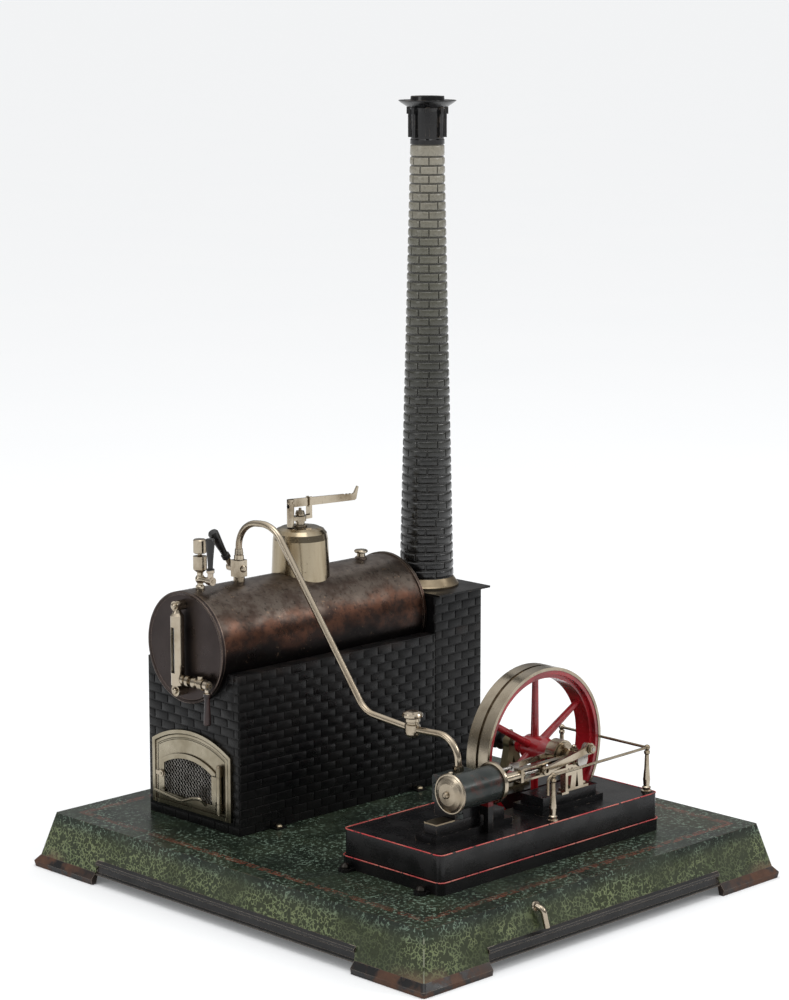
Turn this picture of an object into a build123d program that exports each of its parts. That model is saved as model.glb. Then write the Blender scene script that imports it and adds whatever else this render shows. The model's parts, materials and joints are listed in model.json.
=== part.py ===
from build123d import *
import os
from math import atan2, copysign, cos, radians, sin, sqrt

# Model steam engine: a horizontal mill engine beside its boiler house, on one pressed-tin tray.
# +X runs along the boiler to the chimney and +Y from the engine to the boiler house.
# Lengths are millimetres. Heights are measured from the deck, the tray's flat top, and save() lifts
# every piece by DECK, so the finished model stands on z = 0.

os.makedirs("parts", exist_ok=True)

# ---- driving dimensions -------------------------------------------------------------------------
DECK = 40.0                      # deck above the floor
TRAY_X, TRAY_Y = 170.0, 188.3    # half sizes of the deck
SKIRT_SLOPE = 0.263              # how far the skirt spreads for each mm it drops
SKIRT_DROP = 22.4                # depth of the skirt between the feet
CORNER_DROP = 31.4               # depth of the skirt over the feet
TIN = 1.2                        # sheet thickness
FIT = 0.05                       # radial running clearance
SEAT = 0.02                      # radial gap of two fixed round parts
GAP = 0.4                        # clearance between moving neighbours

HOUSE = (-116.4, 79.1, 47.1, 144.8, 115.8)    # x0, x1, y0, y1, height of the boiler house
BLOCK = (79.1, 128.8, 47.1, 113.7, 144.0)     # the same for the chimney block
STACK_X, STACK_Y = 103.9, 80.4
STACK_FOOT, STACK_TOP = 152.5, 476.6
STACK_R0, STACK_R1 = 19.6, 11.8
CAP_TOP = 511.6

BOILER_Y, BOILER_Z, BOILER_R = 96.0, 130.2, 40.3
BOILER_X0, BOILER_X1 = -123.7, 78.5

BED = (-112.2, 108.4, -146.5, -54.0, 27.1)
STEP = 4.8                       # height of a plinth's lower step
PLINTH_TOP = 38.6
ENGINE_Y, SHAFT_X, SHAFT_Z = -129.0, 43.1, 60.6
CRANK_R, CRANK_ANGLE = 9.0, 55.0
ROD_LENGTH = 45.2
SHAFT_R = 2.4
PIN_R = 1.5
BORE_R = 9.5
ECCENTRICITY, ECCENTRIC_ANGLE = 3.0, 155.0
WHEEL_R, WHEEL_Y0, WHEEL_Y1 = 59.2, -97.4, -77.4

CRANK_PIN_X = SHAFT_X + CRANK_R * cos(radians(CRANK_ANGLE))
CRANK_PIN_Z = SHAFT_Z + CRANK_R * sin(radians(CRANK_ANGLE))
CROSSHEAD_X = CRANK_PIN_X - sqrt(ROD_LENGTH**2 - (CRANK_PIN_Z - SHAFT_Z) ** 2)
ECCENTRIC_X = SHAFT_X + ECCENTRICITY * cos(radians(ECCENTRIC_ANGLE))
ECCENTRIC_Z = SHAFT_Z + ECCENTRICITY * sin(radians(ECCENTRIC_ANGLE))

X, Y, Z = (1, 0, 0), (0, 1, 0), (0, 0, 1)


# ---- helpers ------------------------------------------------------------------------------------
def save(name, *shapes):
    """Write one node: a single piece, or a group of separate pieces."""
    lifted = [Pos(0, 0, DECK) * solid for shape in shapes for solid in shape.solids()]
    export_step(lifted[0] if len(lifted) == 1 else Compound(children=lifted), f"parts/{name}.step")


def block(x0, x1, y0, y1, z0, z1):
    """A box between two corners."""
    return Pos((x0 + x1) / 2, (y0 + y1) / 2, (z0 + z1) / 2) * Box(x1 - x0, y1 - y0, z1 - z0)


def turned(place, direction, *outline):
    """A turned piece: each outline point is (distance along the axis, radius)."""
    points = [(radius, run) for run, radius in outline]
    if points[0][0] > 0:
        points.insert(0, (0, points[0][1]))
    if points[-1][0] > 0:
        points.append((0, points[-1][1]))
    face = make_face(Plane.XZ * Polyline(*points, close=True))
    return Plane(origin=place, z_dir=direction) * revolve(face, Axis.Z)


def rod(start, end, radius, end_radius=None):
    """A straight round bar, tapered if a second radius is given."""
    a, b = Vector(*start), Vector(*end)
    return turned(start, tuple(b - a), (0, radius), ((b - a).length, end_radius or radius))


def ball(place, radius):
    return Pos(*place) * Sphere(radius)


def bent(points, radii, radius, bore=0.0):
    """A round bar or tube along straight runs joined by arcs."""
    path = FilletPolyline(*points, radius=radii)
    section = Plane(origin=path @ 0, z_dir=path % 0) * Circle(radius)
    if bore:
        section -= Plane(origin=path @ 0, z_dir=path % 0) * Circle(bore)
    return sweep(section, path=path)


def plate(outline, plane, thickness):
    """A flat plate: a closed outline in a plane, thickened along the plane's normal."""
    return extrude(plane * outline, amount=thickness)


def arched(y0, y1, z0, shoulder, apex):
    """A door-shaped face in (y, z): straight sides and an arched top."""
    lines = Polyline((y0, shoulder), (y0, z0), (y1, z0), (y1, shoulder))
    arc = ThreePointArc((y1, shoulder), ((y0 + y1) / 2, apex), (y0, shoulder))
    return make_face(lines + arc)


def frustum(drop0, drop1, spread0, spread1):
    """The tray's rectangle, lofted from one depth and spread to another."""
    faces = []
    for drop, spread in ((drop1, spread1), (drop0, spread0)):
        rectangle = RectangleRounded(2 * (TRAY_X + spread), 2 * (TRAY_Y + spread), 2.0)
        faces.append(Pos(0, 0, -drop) * rectangle)
    return loft(faces)


def ring_of(count, shape, centre, axis):
    """Copies of a shape, evenly spaced round an axis."""
    turn = Axis(centre, axis)
    return [shape.rotate(turn, 360.0 * i / count) for i in range(count)]


BOILER_ROUND = rod((BOILER_X0 - 20, BOILER_Y, BOILER_Z), (BOILER_X1 + 20, BOILER_Y, BOILER_Z),
                   BOILER_R + SEAT)


# ---- base ---------------------------------------------------------------------------------------
FOOT_X, FOOT_Y = 118.0, 133.0    # where a foot's arms begin, from the middle of each side
LIP_DEPTH = 33.0
FOOT_SPREAD = 12.0


def corner_zone():
    """The space of the four feet: everything outside the spans between them."""
    reach = 2 * (TRAY_Y + 40)
    zone = Pos(0, 0, -DECK / 2) * Box(reach, reach, 2 * DECK)
    zone -= Box(2 * FOOT_X, reach, 4 * DECK)
    zone -= Box(reach, 2 * FOOT_Y, 4 * DECK)
    return zone


def base_tray():
    spread = SKIRT_SLOPE * CORNER_DROP
    tray = frustum(0, CORNER_DROP, 0, spread)
    tray -= frustum(TIN, CORNER_DROP + 1, -TIN, SKIRT_SLOPE * (CORNER_DROP + 1) - TIN)
    depth = CORNER_DROP - SKIRT_DROP
    for half, plane in ((FOOT_X, Plane.XZ), (FOOT_Y, Plane.YZ)):
        span = Rectangle(2 * half, 2 * depth)
        span = fillet(span.vertices().group_by(Axis.Y)[-1], depth - 0.5)
        tray -= extrude(plane * Pos(0, -CORNER_DROP) * span, amount=2 * TRAY_Y, both=True)
    return tray


def base_lip():
    """The black moulded band that shows below the skirt between the feet."""
    top = SKIRT_SLOPE * SKIRT_DROP
    profile = [(top - 3.0, -SKIRT_DROP - SEAT), (top, -SKIRT_DROP - SEAT), (top + 2.2, -SKIRT_DROP - 1.6),
               (top + 2.2, -SKIRT_DROP - 3.4), (top + 0.4, -SKIRT_DROP - 4.6), (top + 0.9, -LIP_DEPTH + 1.8),
               (top + 2.6, -LIP_DEPTH + 0.6), (top + 2.6, -LIP_DEPTH), (top - 3.0, -LIP_DEPTH)]
    bands = []
    for side in (-1, 1):
        edge_x = make_face(Polyline(*[(side * (TRAY_Y + d), z) for d, z in profile], close=True))
        edge_y = make_face(Polyline(*[(side * (TRAY_X + d), z) for d, z in profile], close=True))
        bands.append(extrude(Plane.YZ * edge_x, amount=FOOT_X - GAP, both=True))
        bands.append(extrude(Plane.XZ * edge_y, amount=FOOT_Y - GAP, both=True))
    tray = base_tray()
    return [band - tray for band in bands]


def base_feet():
    """Four flared corner feet, each an L-shaped bracket."""
    top_spread = SKIRT_SLOPE * CORNER_DROP
    top = CORNER_DROP + SEAT
    outer = frustum(top, 36.0, top_spread, FOOT_SPREAD) + frustum(36.0, DECK, FOOT_SPREAD, FOOT_SPREAD - 0.7)
    inner = frustum(top - 1, DECK + 1, top_spread - 3.0, FOOT_SPREAD - 4.0)
    return (outer - inner) & corner_zone()


def drain_spout():
    root = TRAY_Y + SKIRT_SLOPE * 7.0
    points = [(-67.0, -root - 0.7, -7.0), (-66.4, -root - 6.0, -8.0), (-64.5, -root - 7.9, -20.5)]
    flange = turned((-67.0, -root - 0.1, -7.0), (0, -1, SKIRT_SLOPE), (0, 3.6), (0.9, 3.2))
    spout = flange + bent(points, [3.6], 2.1)
    return spout - frustum(0, CORNER_DROP, SEAT, SKIRT_SLOPE * CORNER_DROP + SEAT)


save("base_tray", base_tray())
save("base_frame", *base_lip(), base_feet())
save("drain_spout", drain_spout())


# ---- boiler house and fire door -----------------------------------------------------------------
DOOR_Y0, DOOR_Y1 = 54.0, 139.0
MOUTH_Y0, MOUTH_Y1, MOUTH_Z0, MOUTH_SHOULDER, MOUTH_APEX = 71.5, 127.0, 17.0, 41.0, 48.5
FRAME_X = HOUSE[0] - 1.6         # front face of the door frame's plate
DOOR_BACK = FRAME_X - 0.3
DOOR_FRONT = DOOR_BACK - 1.1
HINGE_X, HINGE_Y = FRAME_X - 2.3, 64.7
LATCH_Y, LATCH_Z = 126.6, 32.0
TAB_XS = (-82.2, 60.0)
FRONT = Plane(origin=(0, 0, 0), x_dir=(0, 1, 0), z_dir=(1, 0, 0))


def tin_box(x0, x1, y0, y1, height):
    """A tin box, open below."""
    return block(x0, x1, y0, y1, 0, height) - block(x0 + TIN, x1 - TIN, y0 + TIN, y1 - TIN, -1, height - TIN)


def boiler_house():
    x0, x1, y0, y1, height = HOUSE
    house = tin_box(x0, x1, y0, y1, height) - BOILER_ROUND
    house -= rod((BOILER_X1 - 3.2, BOILER_Y, BOILER_Z), (x1 + 1, BOILER_Y, BOILER_Z), BOILER_R + 1.3)
    mouth = arched(MOUTH_Y0 + 1, MOUTH_Y1 - 1, MOUTH_Z0 + 1, MOUTH_SHOULDER - 1, MOUTH_APEX - 1)
    house -= Pos(x0 - 5, 0, 0) * plate(mouth, FRONT, 10)
    for x in TAB_XS:
        house += block(x - 4.5, x + 4.5, y0 - 6.5, y0 + 0.5, 0, TIN)
        house += block(x - 4.5, x + 4.5, y1 - 0.5, y1 + 6.5, 0, TIN)
    return house


def house_screws():
    screws = []
    for x in TAB_XS:
        for y in (HOUSE[2] - 3.4, HOUSE[3] + 3.4):
            screws.append(turned((x, y, TIN), Z, (0, 2.6), (0.7, 2.6), (1.6, 1.9), (2.0, 0.6)))
    return screws


def hinge_knuckle(z0, z1, radius, bore):
    return rod((HINGE_X, HINGE_Y, z0), (HINGE_X, HINGE_Y, z1), radius) - rod(
        (HINGE_X, HINGE_Y, z0 - 1), (HINGE_X, HINGE_Y, z1 + 1), bore)


def fire_door_frame():
    """Arched plate with a raised rim and two hinge knuckles."""
    outline = arched(DOOR_Y0, DOOR_Y1, 9.0, 56.0, 68.0)
    inside = arched(DOOR_Y0 + 3, DOOR_Y1 - 3, 12.0, 54.2, 65.2)
    mouth = arched(MOUTH_Y0, MOUTH_Y1, MOUTH_Z0, MOUTH_SHOULDER, MOUTH_APEX)
    frame = Pos(FRAME_X, 0, 0) * plate(outline, FRONT, HOUSE[0] - FRAME_X - SEAT)
    frame += Pos(FRAME_X - 0.9, 0, 0) * plate(outline - inside, FRONT, 1.2)
    frame -= Pos(FRAME_X - 5, 0, 0) * plate(mouth, FRONT, 10)
    for z0, z1 in ((14.0, 21.0), (41.0, 48.0)):
        frame += hinge_knuckle(z0, z1, 1.9, 1.0 + SEAT)
        frame += block(HINGE_X + 1.2, FRAME_X + 0.4, HINGE_Y - 1.1, HINGE_Y + 1.1, z0, z1)
    return frame


def fire_door():
    """Nickel door rim with its hinge knuckle, strap and latch stud."""
    outline = arched(MOUTH_Y0 - 2, MOUTH_Y1 + 2, MOUTH_Z0 - 2, MOUTH_SHOULDER + 1, MOUTH_APEX + 2)
    window = arched(MOUTH_Y0 + 1.6, MOUTH_Y1 - 1.6, MOUTH_Z0 + 1.6, MOUTH_SHOULDER - 1, MOUTH_APEX - 1.6)
    door = Pos(DOOR_FRONT, 0, 0) * plate(outline - window, FRONT, DOOR_BACK - DOOR_FRONT)
    door += block(DOOR_FRONT - 0.9, DOOR_FRONT + 0.3, HINGE_Y + 1.5, MOUTH_Y0 + 1.2, 22, 40)
    door += hinge_knuckle(21.4, 40.6, 1.8, 1.0 + FIT)
    door += rod((DOOR_FRONT + 0.3, LATCH_Y, LATCH_Z), (DOOR_FRONT - 2.6, LATCH_Y, LATCH_Z), 1.0)
    return door


def door_mesh():
    window = arched(MOUTH_Y0 + 1.7, MOUTH_Y1 - 1.7, MOUTH_Z0 + 1.7, MOUTH_SHOULDER - 1.1, MOUTH_APEX - 1.75)
    return Pos(DOOR_BACK - 0.6, 0, 0) * plate(window, FRONT, 0.5)


def door_hinge_pin():
    ends = rod((HINGE_X, HINGE_Y, 48.0), (HINGE_X, HINGE_Y, 49.2), 1.5)
    return ends + rod((HINGE_X, HINGE_Y, 13.0), (HINGE_X, HINGE_Y, 49.0), 1.0)


def door_latch():
    """A small turn button on the stud at the door's free edge."""
    bar = block(DOOR_FRONT - 1.7, DOOR_FRONT - 0.5, LATCH_Y - 3.4, LATCH_Y + 6.0, LATCH_Z - 1.5,
                LATCH_Z + 1.5)
    bar += rod((DOOR_FRONT - 0.5, LATCH_Y, LATCH_Z), (DOOR_FRONT - 2.3, LATCH_Y, LATCH_Z), 2.4)
    return bar - rod((DOOR_FRONT, LATCH_Y, LATCH_Z), (DOOR_FRONT - 4, LATCH_Y, LATCH_Z), 1.0 + FIT)


def door_handle():
    """A bent rod: out of the door at the hinge side, then along the bottom rail."""
    out = DOOR_FRONT - 4.2
    points = [(DOOR_FRONT + 0.05, 80.0, 17.4), (out, 81.5, 22.5), (out, 90.0, 21.0), (out, 102.0, 16.6),
              (out, 131.0, 19.6)]
    return bent(points, [2.2, 6.0, 14.0], 1.15)


save("boiler_house", boiler_house())
save("fire_door_frame", fire_door_frame())
save("fire_door", fire_door() + door_handle())
save("door_mesh", door_mesh())
save("door_hinge_pin", door_hinge_pin())
save("door_latch", door_latch())


# ---- spirit burner ------------------------------------------------------------------------------
BURNER = (-96.0, 30.0, 78.0, 120.0, 2.0, 15.0)
WICK_XS = [-80.0 + 31.0 * i for i in range(4)]


def burner_tank():
    x0, x1, y0, y1, z0, z1 = BURNER
    tank = block(x0, x1, y0, y1, z0, z1)
    tank = fillet(tank.edges().filter_by(Axis.Z), 5)
    tank -= block(x0 + TIN, x1 - TIN, y0 + TIN, y1 - TIN, z0 + TIN, z1 - TIN)
    for x in (x0 + 12, x1 - 12):
        tank += block(x - 5, x + 5, y0 + 8, y1 - 8, 0, z0)
    return tank


def burner_wicks():
    return [rod((x, BOILER_Y + 3, BURNER[5]), (x, BOILER_Y + 3, BURNER[5] + 17), 5) for x in WICK_XS]


burner = burner_tank()
for wick in burner_wicks():
    burner += wick
save("spirit_burner", burner)


# ---- chimney ------------------------------------------------------------------------------------
BLOCK_TOP = 145.5
PLATE_OVERHANG = 4.9
FLUE_R = 17.0


def flue(z0, z1, radius):
    return rod((STACK_X, STACK_Y, z0), (STACK_X, STACK_Y, z1), radius)


def chimney_block():
    x0, x1, y0, y1, height = BLOCK
    walls = block(x0 + SEAT, x1, y0, y1, 0, height)
    return walls - block(x0 + TIN, x1 - TIN, y0 + TIN, y1 - TIN, -1, height + 1)


def block_top_plate():
    x0, x1, y0, y1, height = BLOCK
    over = PLATE_OVERHANG
    top = block(x0 + SEAT, x1 + over, y0 - over, y1 + over, height, BLOCK_TOP)
    return top - flue(height - 1, BLOCK_TOP + 1, FLUE_R)


def chimney_flange():
    cone = turned((STACK_X, STACK_Y, BLOCK_TOP), Z, (0, 24.4), (1.2, 24.4), (2.0, 23.6),
                  (STACK_FOOT - BLOCK_TOP, 20.2))
    return cone - flue(BLOCK_TOP - 1, STACK_FOOT + 1, FLUE_R)


def chimney_stack():
    outer = turned((STACK_X, STACK_Y, STACK_FOOT), Z, (0, STACK_R0), (STACK_TOP - STACK_FOOT, STACK_R1))
    inner = turned((STACK_X, STACK_Y, STACK_FOOT - 1), Z, (0, STACK_R0 - TIN),
                   (STACK_TOP - STACK_FOOT + 2, STACK_R1 - TIN))
    return outer - inner


def chimney_cap():
    """Collar, ribbed bell and flared rim round an open flue."""
    cap = turned((STACK_X, STACK_Y, STACK_TOP), Z, (0, 12.7), (3.2, 12.7), (4.0, 12.2), (24.0, 12.6),
                 (26.5, 14.0), (30.2, 19.6), (31.5, 21.3), (32.1, 21.3), (32.1, 12.7),
                 (CAP_TOP - STACK_TOP, 12.4))
    rib = block(STACK_X + 10.9, STACK_X + 14.3, STACK_Y - 1.5, STACK_Y + 1.5, STACK_TOP + 5, STACK_TOP + 27)
    rib += block(STACK_X + 10.9, STACK_X + 15.4, STACK_Y - 1.5, STACK_Y + 1.5, STACK_TOP + 22, STACK_TOP + 27)
    for shape in ring_of(8, rib, (STACK_X, STACK_Y, 0), Z):
        cap += shape
    return cap - flue(STACK_TOP - 1, CAP_TOP + 1, 10.0)


save("chimney_block", chimney_block())
save("block_top_plate", block_top_plate())
save("chimney_flange", chimney_flange())
save("chimney_stack", chimney_stack())
save("chimney_cap", chimney_cap())


# ---- boiler -------------------------------------------------------------------------------------
END_DEPTH = 3.2
FILLER_X, PLUG_R = 50.0, 2.0


def boiler_axis(x):
    return (x, BOILER_Y, BOILER_Z)


def boiler_shell():
    """The barrel, with the filler boss brazed on its top."""
    x0, x1 = BOILER_X0 + END_DEPTH, BOILER_X1 - END_DEPTH
    top = BOILER_Z + BOILER_R
    filler = (FILLER_X, BOILER_Y, top - 3.0)
    shell = rod(boiler_axis(x0), boiler_axis(x1), BOILER_R)
    shell += turned(filler, Z, (0, 4.6), (3.8, 4.6), (4.5, 3.8))
    shell -= rod(boiler_axis(x0 - 1), boiler_axis(x1 + 1), BOILER_R - TIN)
    return shell - rod(filler, (FILLER_X, BOILER_Y, top + 3), PLUG_R + FIT)


def boiler_front_end():
    return turned(boiler_axis(BOILER_X0), X, (1.0, 0), (1.0, BOILER_R - 2.6), (0.2, BOILER_R - 1.6),
                  (0, BOILER_R - 0.6), (0.4, BOILER_R), (END_DEPTH, BOILER_R))


def boiler_rear_end():
    return turned(boiler_axis(BOILER_X1 - END_DEPTH), X, (0, BOILER_R), (0.3, BOILER_R + 1.2),
                  (END_DEPTH - 0.6, BOILER_R + 1.2), (END_DEPTH - 0.2, BOILER_R + 0.4), (END_DEPTH - 0.2, 0))


save("boiler_shell", boiler_shell())
save("boiler_front_end", boiler_front_end())
save("boiler_rear_end", boiler_rear_end())


# ---- gauge and test cock on the boiler's front --------------------------------------------------
GAUGE_X, GAUGE_Y = BOILER_X0 - 5.2, 97.5
COCK_Y, COCK_Z = 66.8, 108.5


def gauge_body():
    """Two lugs, the slotted guard between them, and the tee that carries the test cock."""
    back = BOILER_X0 + 1.0 - SEAT
    guard = rod((GAUGE_X, GAUGE_Y, 104), (GAUGE_X, GAUGE_Y, 154), 4.9)
    guard += turned((GAUGE_X, GAUGE_Y, 154), Z, (0, 4.9), (2.0, 3.4), (4.5, 2.4), (5.0, 2.4))
    guard -= rod((GAUGE_X, GAUGE_Y, 111), (GAUGE_X, GAUGE_Y, 149), 3.4)
    guard -= block(GAUGE_X - 6, GAUGE_X, GAUGE_Y - 1.9, GAUGE_Y + 1.9, 113, 146)
    for z, radius in ((161.0, 3.6), (100.0, 4.2)):
        guard += rod((GAUGE_X - 2.6, GAUGE_Y, z), (back, GAUGE_Y, z), radius)
        guard += turned((GAUGE_X - 2.6, GAUGE_Y, z), (-1, 0, 0), (0, 2.4), (1.4, 2.1), (2.0, 0.8))
    tee = (GAUGE_X, GAUGE_Y, COCK_Z)
    guard += turned(tee, (0, -1, 0), (0, 2.4), (5.5, 2.4), (5.5, 3.4), (8.0, 3.4), (8.0, 2.4), (11.0, 2.4),
                    (11.0, 4.2), (14.0, 4.2), (14.0, 2.6), (16.0, 2.6))
    return guard


def gauge_glass():
    return rod((GAUGE_X, GAUGE_Y, 111.1), (GAUGE_X, GAUGE_Y, 148.9), 2.8) - rod(
        (GAUGE_X, GAUGE_Y, 110), (GAUGE_X, GAUGE_Y, 150), 1.8)


def test_cock_body():
    """Cock barrel, joined to the tee, with the spindle that the handle turns on."""
    start = (GAUGE_X, GAUGE_Y - 16.0, COCK_Z)
    body = turned(start, (0, -1, 0), (0, 3.0), (1.5, 3.9), (3.5, 3.9), (4.5, 2.6), (7.5, 2.6), (8.0, 4.1),
                  (12.6, 4.1), (12.6, 1.6), (18.2, 1.6), (18.2, 0))
    return body + rod((GAUGE_X, 73.0, COCK_Z), (GAUGE_X, 73.0, COCK_Z + 5.6), 2.2)


def test_cock_lever():
    hub_y = COCK_Y - 0.5
    hub = rod((GAUGE_X, hub_y + 1.9, COCK_Z), (GAUGE_X, hub_y - 1.9, COCK_Z), 3.3)
    hub += turned((GAUGE_X, hub_y, COCK_Z), (0, 0, -1), (0, 1.8), (5.0, 1.6), (5.5, 2.7), (8.0, 2.7),
                  (8.5, 1.7))
    return hub - rod((GAUGE_X, hub_y + 5, COCK_Z), (GAUGE_X, hub_y - 5, COCK_Z), 1.6 + FIT)


def test_cock_grip():
    return turned((GAUGE_X, COCK_Y - 0.5, COCK_Z - 8.5 - SEAT), (0, 0, -1), (0, 1.8), (3.0, 2.0), (14.0, 2.5),
                  (19.0, 2.7), (20.0, 2.2), (20.3, 1.0))


save("gauge_body", gauge_body() + test_cock_body())
save("gauge_glass", gauge_glass())
save("test_cock_handle", test_cock_lever(), test_cock_grip())


# ---- fittings on top of the boiler --------------------------------------------------------------
WHISTLE_X, WHISTLE_Z = -108.4, 177.5
VALVE_X, VALVE_Z = -71.6, 180.3
VALVE_LEAN = 33.0                # degrees the lever leans towards the front at rest
DOME_X, DOME_TOP = -11.5, 203.0
SAFETY_X, LEVER_Z = -11.7, 221.4
PIVOT_X, FORK_X = -21.1, -2.7


def boss(x, *outline):
    """A turned fitting that stands on the boiler, its foot cut to the boiler's curve."""
    return turned((x, BOILER_Y, 160.0), Z, *[(z - 160.0, radius) for z, radius in outline]) - BOILER_ROUND


def whistle_base():
    body = boss(WHISTLE_X, (160, 3.3), (172.5, 3.3), (173.6, 2.2), (181, 2.2), (182.4, 2.4), (183.6, 4.0),
                (184.7, 4.95), (194.1, 4.95), (194.1, 2.2), (195.0, 1.5), (196.2, 1.5))
    body += ball((WHISTLE_X, BOILER_Y, WHISTLE_Z), 3.6)
    spindle = turned((WHISTLE_X, BOILER_Y - 2, WHISTLE_Z), (0, -1, 0), (0, 2.2), (6.0, 2.2), (6.0, 1.3),
                     (12.2, 1.3))
    return body + spindle


def whistle_bell():
    return turned((WHISTLE_X, BOILER_Y, 196.2 + SEAT), Z, (0, 4.2), (0.5, 4.7), (9.3, 4.7), (10.0, 4.1),
                  (10.0, 0))


def whistle_cock_lever():
    y = BOILER_Y - 11.2
    lever = rod((WHISTLE_X, y + 2.6, WHISTLE_Z), (WHISTLE_X, y - 2.6, WHISTLE_Z), 3.0)
    lever += turned((WHISTLE_X, y, WHISTLE_Z), Z, (0, 2.1), (5.5, 2.1), (6.0, 2.9), (8.8, 2.9), (9.2, 1.7))
    return lever - rod((WHISTLE_X, y + 5, WHISTLE_Z), (WHISTLE_X, y - 5, WHISTLE_Z), 1.3 + FIT)


def whistle_cock_grip():
    return turned((WHISTLE_X, BOILER_Y - 11.2, WHISTLE_Z + 9.2 + SEAT), Z, (0, 1.8), (6, 2.1), (16, 3.1),
                  (20, 3.4), (21.2, 2.8), (21.5, 1.4))


def stop_valve_body():
    half = 4.75
    body = boss(VALVE_X, (160, 4.1), (173.8, 4.1), (173.8, 3.2), (174.6, 3.2))
    cube = block(VALVE_X - half, VALVE_X + half, BOILER_Y - half, BOILER_Y + half, 174.3, 186.3)
    cube = chamfer(cube.edges().filter_by(Axis.Z), 1.2)
    body += cube
    body += turned((VALVE_X, BOILER_Y - half, VALVE_Z), (0, -1, 0), (0, 2.6), (0.8, 2.6), (1.4, 1.6),
                   (1.5, 0))
    body += rod((VALVE_X, BOILER_Y + half - 1, VALVE_Z), (VALVE_X, BOILER_Y + 11.0, VALVE_Z), 1.5)
    return body


def lever_direction():
    return (-sin(radians(VALVE_LEAN)), 0, cos(radians(VALVE_LEAN)))


def stop_valve_lever():
    y = BOILER_Y + 8.0
    lever = rod((VALVE_X, y - 2.6, VALVE_Z), (VALVE_X, y + 2.6, VALVE_Z), 3.2)
    lever += turned((VALVE_X, y, VALVE_Z), lever_direction(), (0, 2.2), (8.0, 2.0), (8.4, 3.2), (11.5, 3.2),
                    (12.0, 1.8))
    return lever - rod((VALVE_X, y - 5, VALVE_Z), (VALVE_X, y + 5, VALVE_Z), 1.5 + FIT)


def stop_valve_grip():
    dx, dy, dz = lever_direction()
    run = 12.0 + SEAT
    place = (VALVE_X + dx * run, BOILER_Y + 8.0, VALVE_Z + dz * run)
    return turned(place, (dx, dy, dz), (0, 2.3), (4, 2.5), (17, 3.8), (19.5, 3.9), (20.8, 3.2), (21.3, 1.6))


def union_nut():
    nut = turned((VALVE_X, BOILER_Y, 186.3 + SEAT), Z, (0, 3.6), (3.2, 3.6), (3.6, 3.0), (4.4, 3.2),
                 (8.0, 2.9))
    return nut - rod((VALVE_X, BOILER_Y, 186), (VALVE_X, BOILER_Y, 195), PIPE_R + SEAT)


def steam_dome():
    dome = boss(DOME_X, (150, 21.5), (168, 21.4), (194, 20.3), (198.5, 19.4), (201.2, 17.2), (202.6, 14.0),
                (DOME_TOP, 10.0))
    hollow = turned((DOME_X, BOILER_Y, 150), Z, (0, 20.3), (44, 19.2), (50, 15.5), (51.5, 10.0))
    return dome - hollow


NOTCH_XS = (33.6, 37.0, 40.4)
LEVER_TILT = 2.6                 # degrees the lever's tip hangs below level


def safety_valve_body():
    """Seat, bridge, slotted pivot post and the fork that guides the lever."""
    y = BOILER_Y
    body = turned((SAFETY_X, y, DOME_TOP), Z, (SEAT, 5.2), (1.2, 5.2), (1.2, 3.4), (4.0, 3.4), (4.0, 4.6),
                  (7.6, 4.6))
    body += block(PIVOT_X, FORK_X + 1.2, y - 2.2, y + 2.2, DOME_TOP + 5.0, DOME_TOP + 7.6)
    body += rod((PIVOT_X, y, DOME_TOP + 0.6), (PIVOT_X, y, LEVER_Z + 2.4), 2.7)
    body += block(FORK_X - 1.1, FORK_X + 1.1, y - 2.2, y + 2.2, DOME_TOP + 5.0, LEVER_Z + 2.6)
    body -= block(PIVOT_X - 5, PIVOT_X + 3.5, y - 1.2, y + 1.2, LEVER_Z - 4.0, LEVER_Z + 5)
    body -= block(FORK_X - 2, FORK_X + 2, y - 1.2, y + 1.2, LEVER_Z - 4.8, LEVER_Z + 5)
    body += rod((PIVOT_X, y - 3.2, LEVER_Z), (PIVOT_X, y + 3.2, LEVER_Z), 0.8)
    return body - rod((SAFETY_X, y, DOME_TOP - 1), (SAFETY_X, y, DOME_TOP + 9), 1.6 + FIT)


def safety_valve_plug():
    return turned((SAFETY_X, BOILER_Y, DOME_TOP + 2), Z, (0, 1.6), (6.0, 1.6), (6.0, 3.4), (7.2, 3.6),
                  (9.4, 3.0), (9.8, 1.2), (11.5, 1.0))


def safety_lever():
    """A deep flat bar with three notches for a weight and an upturned tip, a little below level."""
    outline = Polyline((PIVOT_X, 2.8), (42.6, 2.4), (45.6, 7.6), (46.8, 7.0), (44.8, -1.8), (43.2, -2.9),
                       (PIVOT_X, -3.5), close=True)
    lever = extrude(Plane.XZ * make_face(outline), amount=0.8, both=True)
    lever += rod((PIVOT_X, -0.8, 0), (PIVOT_X, 0.8, 0), 2.4)
    for x in NOTCH_XS:
        lever -= rod((x, -2, 2.8), (x, 2, 2.8), 1.25)
    lever -= rod((PIVOT_X, -2, 0), (PIVOT_X, 2, 0), 0.8 + FIT)
    lever = lever.rotate(Axis((PIVOT_X, 0, 0), Y), LEVER_TILT)
    return Pos(0, BOILER_Y, LEVER_Z) * lever


def filler_plug():
    return turned((FILLER_X, BOILER_Y, 169.5), Z, (0, PLUG_R), (2.52, PLUG_R), (2.52, 3.2), (5.2, 3.0),
                  (5.4, 4.4), (6.0, 5.1), (7.0, 5.1), (7.6, 4.4), (7.8, 0))


# ---- steam pipe ---------------------------------------------------------------------------------
PIPE_R, PIPE_BORE = 2.4, 1.6
PIPE_END_X, PIPE_END_Y = -58.5, -110.5
CHEST_TOP = 67.2
OILER_Y, OILER_Z = -69.3, 90.0


def on_pipe(y, z):
    """The pipe lies in one upright plane from the stop valve to the steam chest."""
    share = (BOILER_Y - y) / (BOILER_Y - PIPE_END_Y)
    return (VALVE_X + share * (PIPE_END_X - VALVE_X), y, z)


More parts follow.
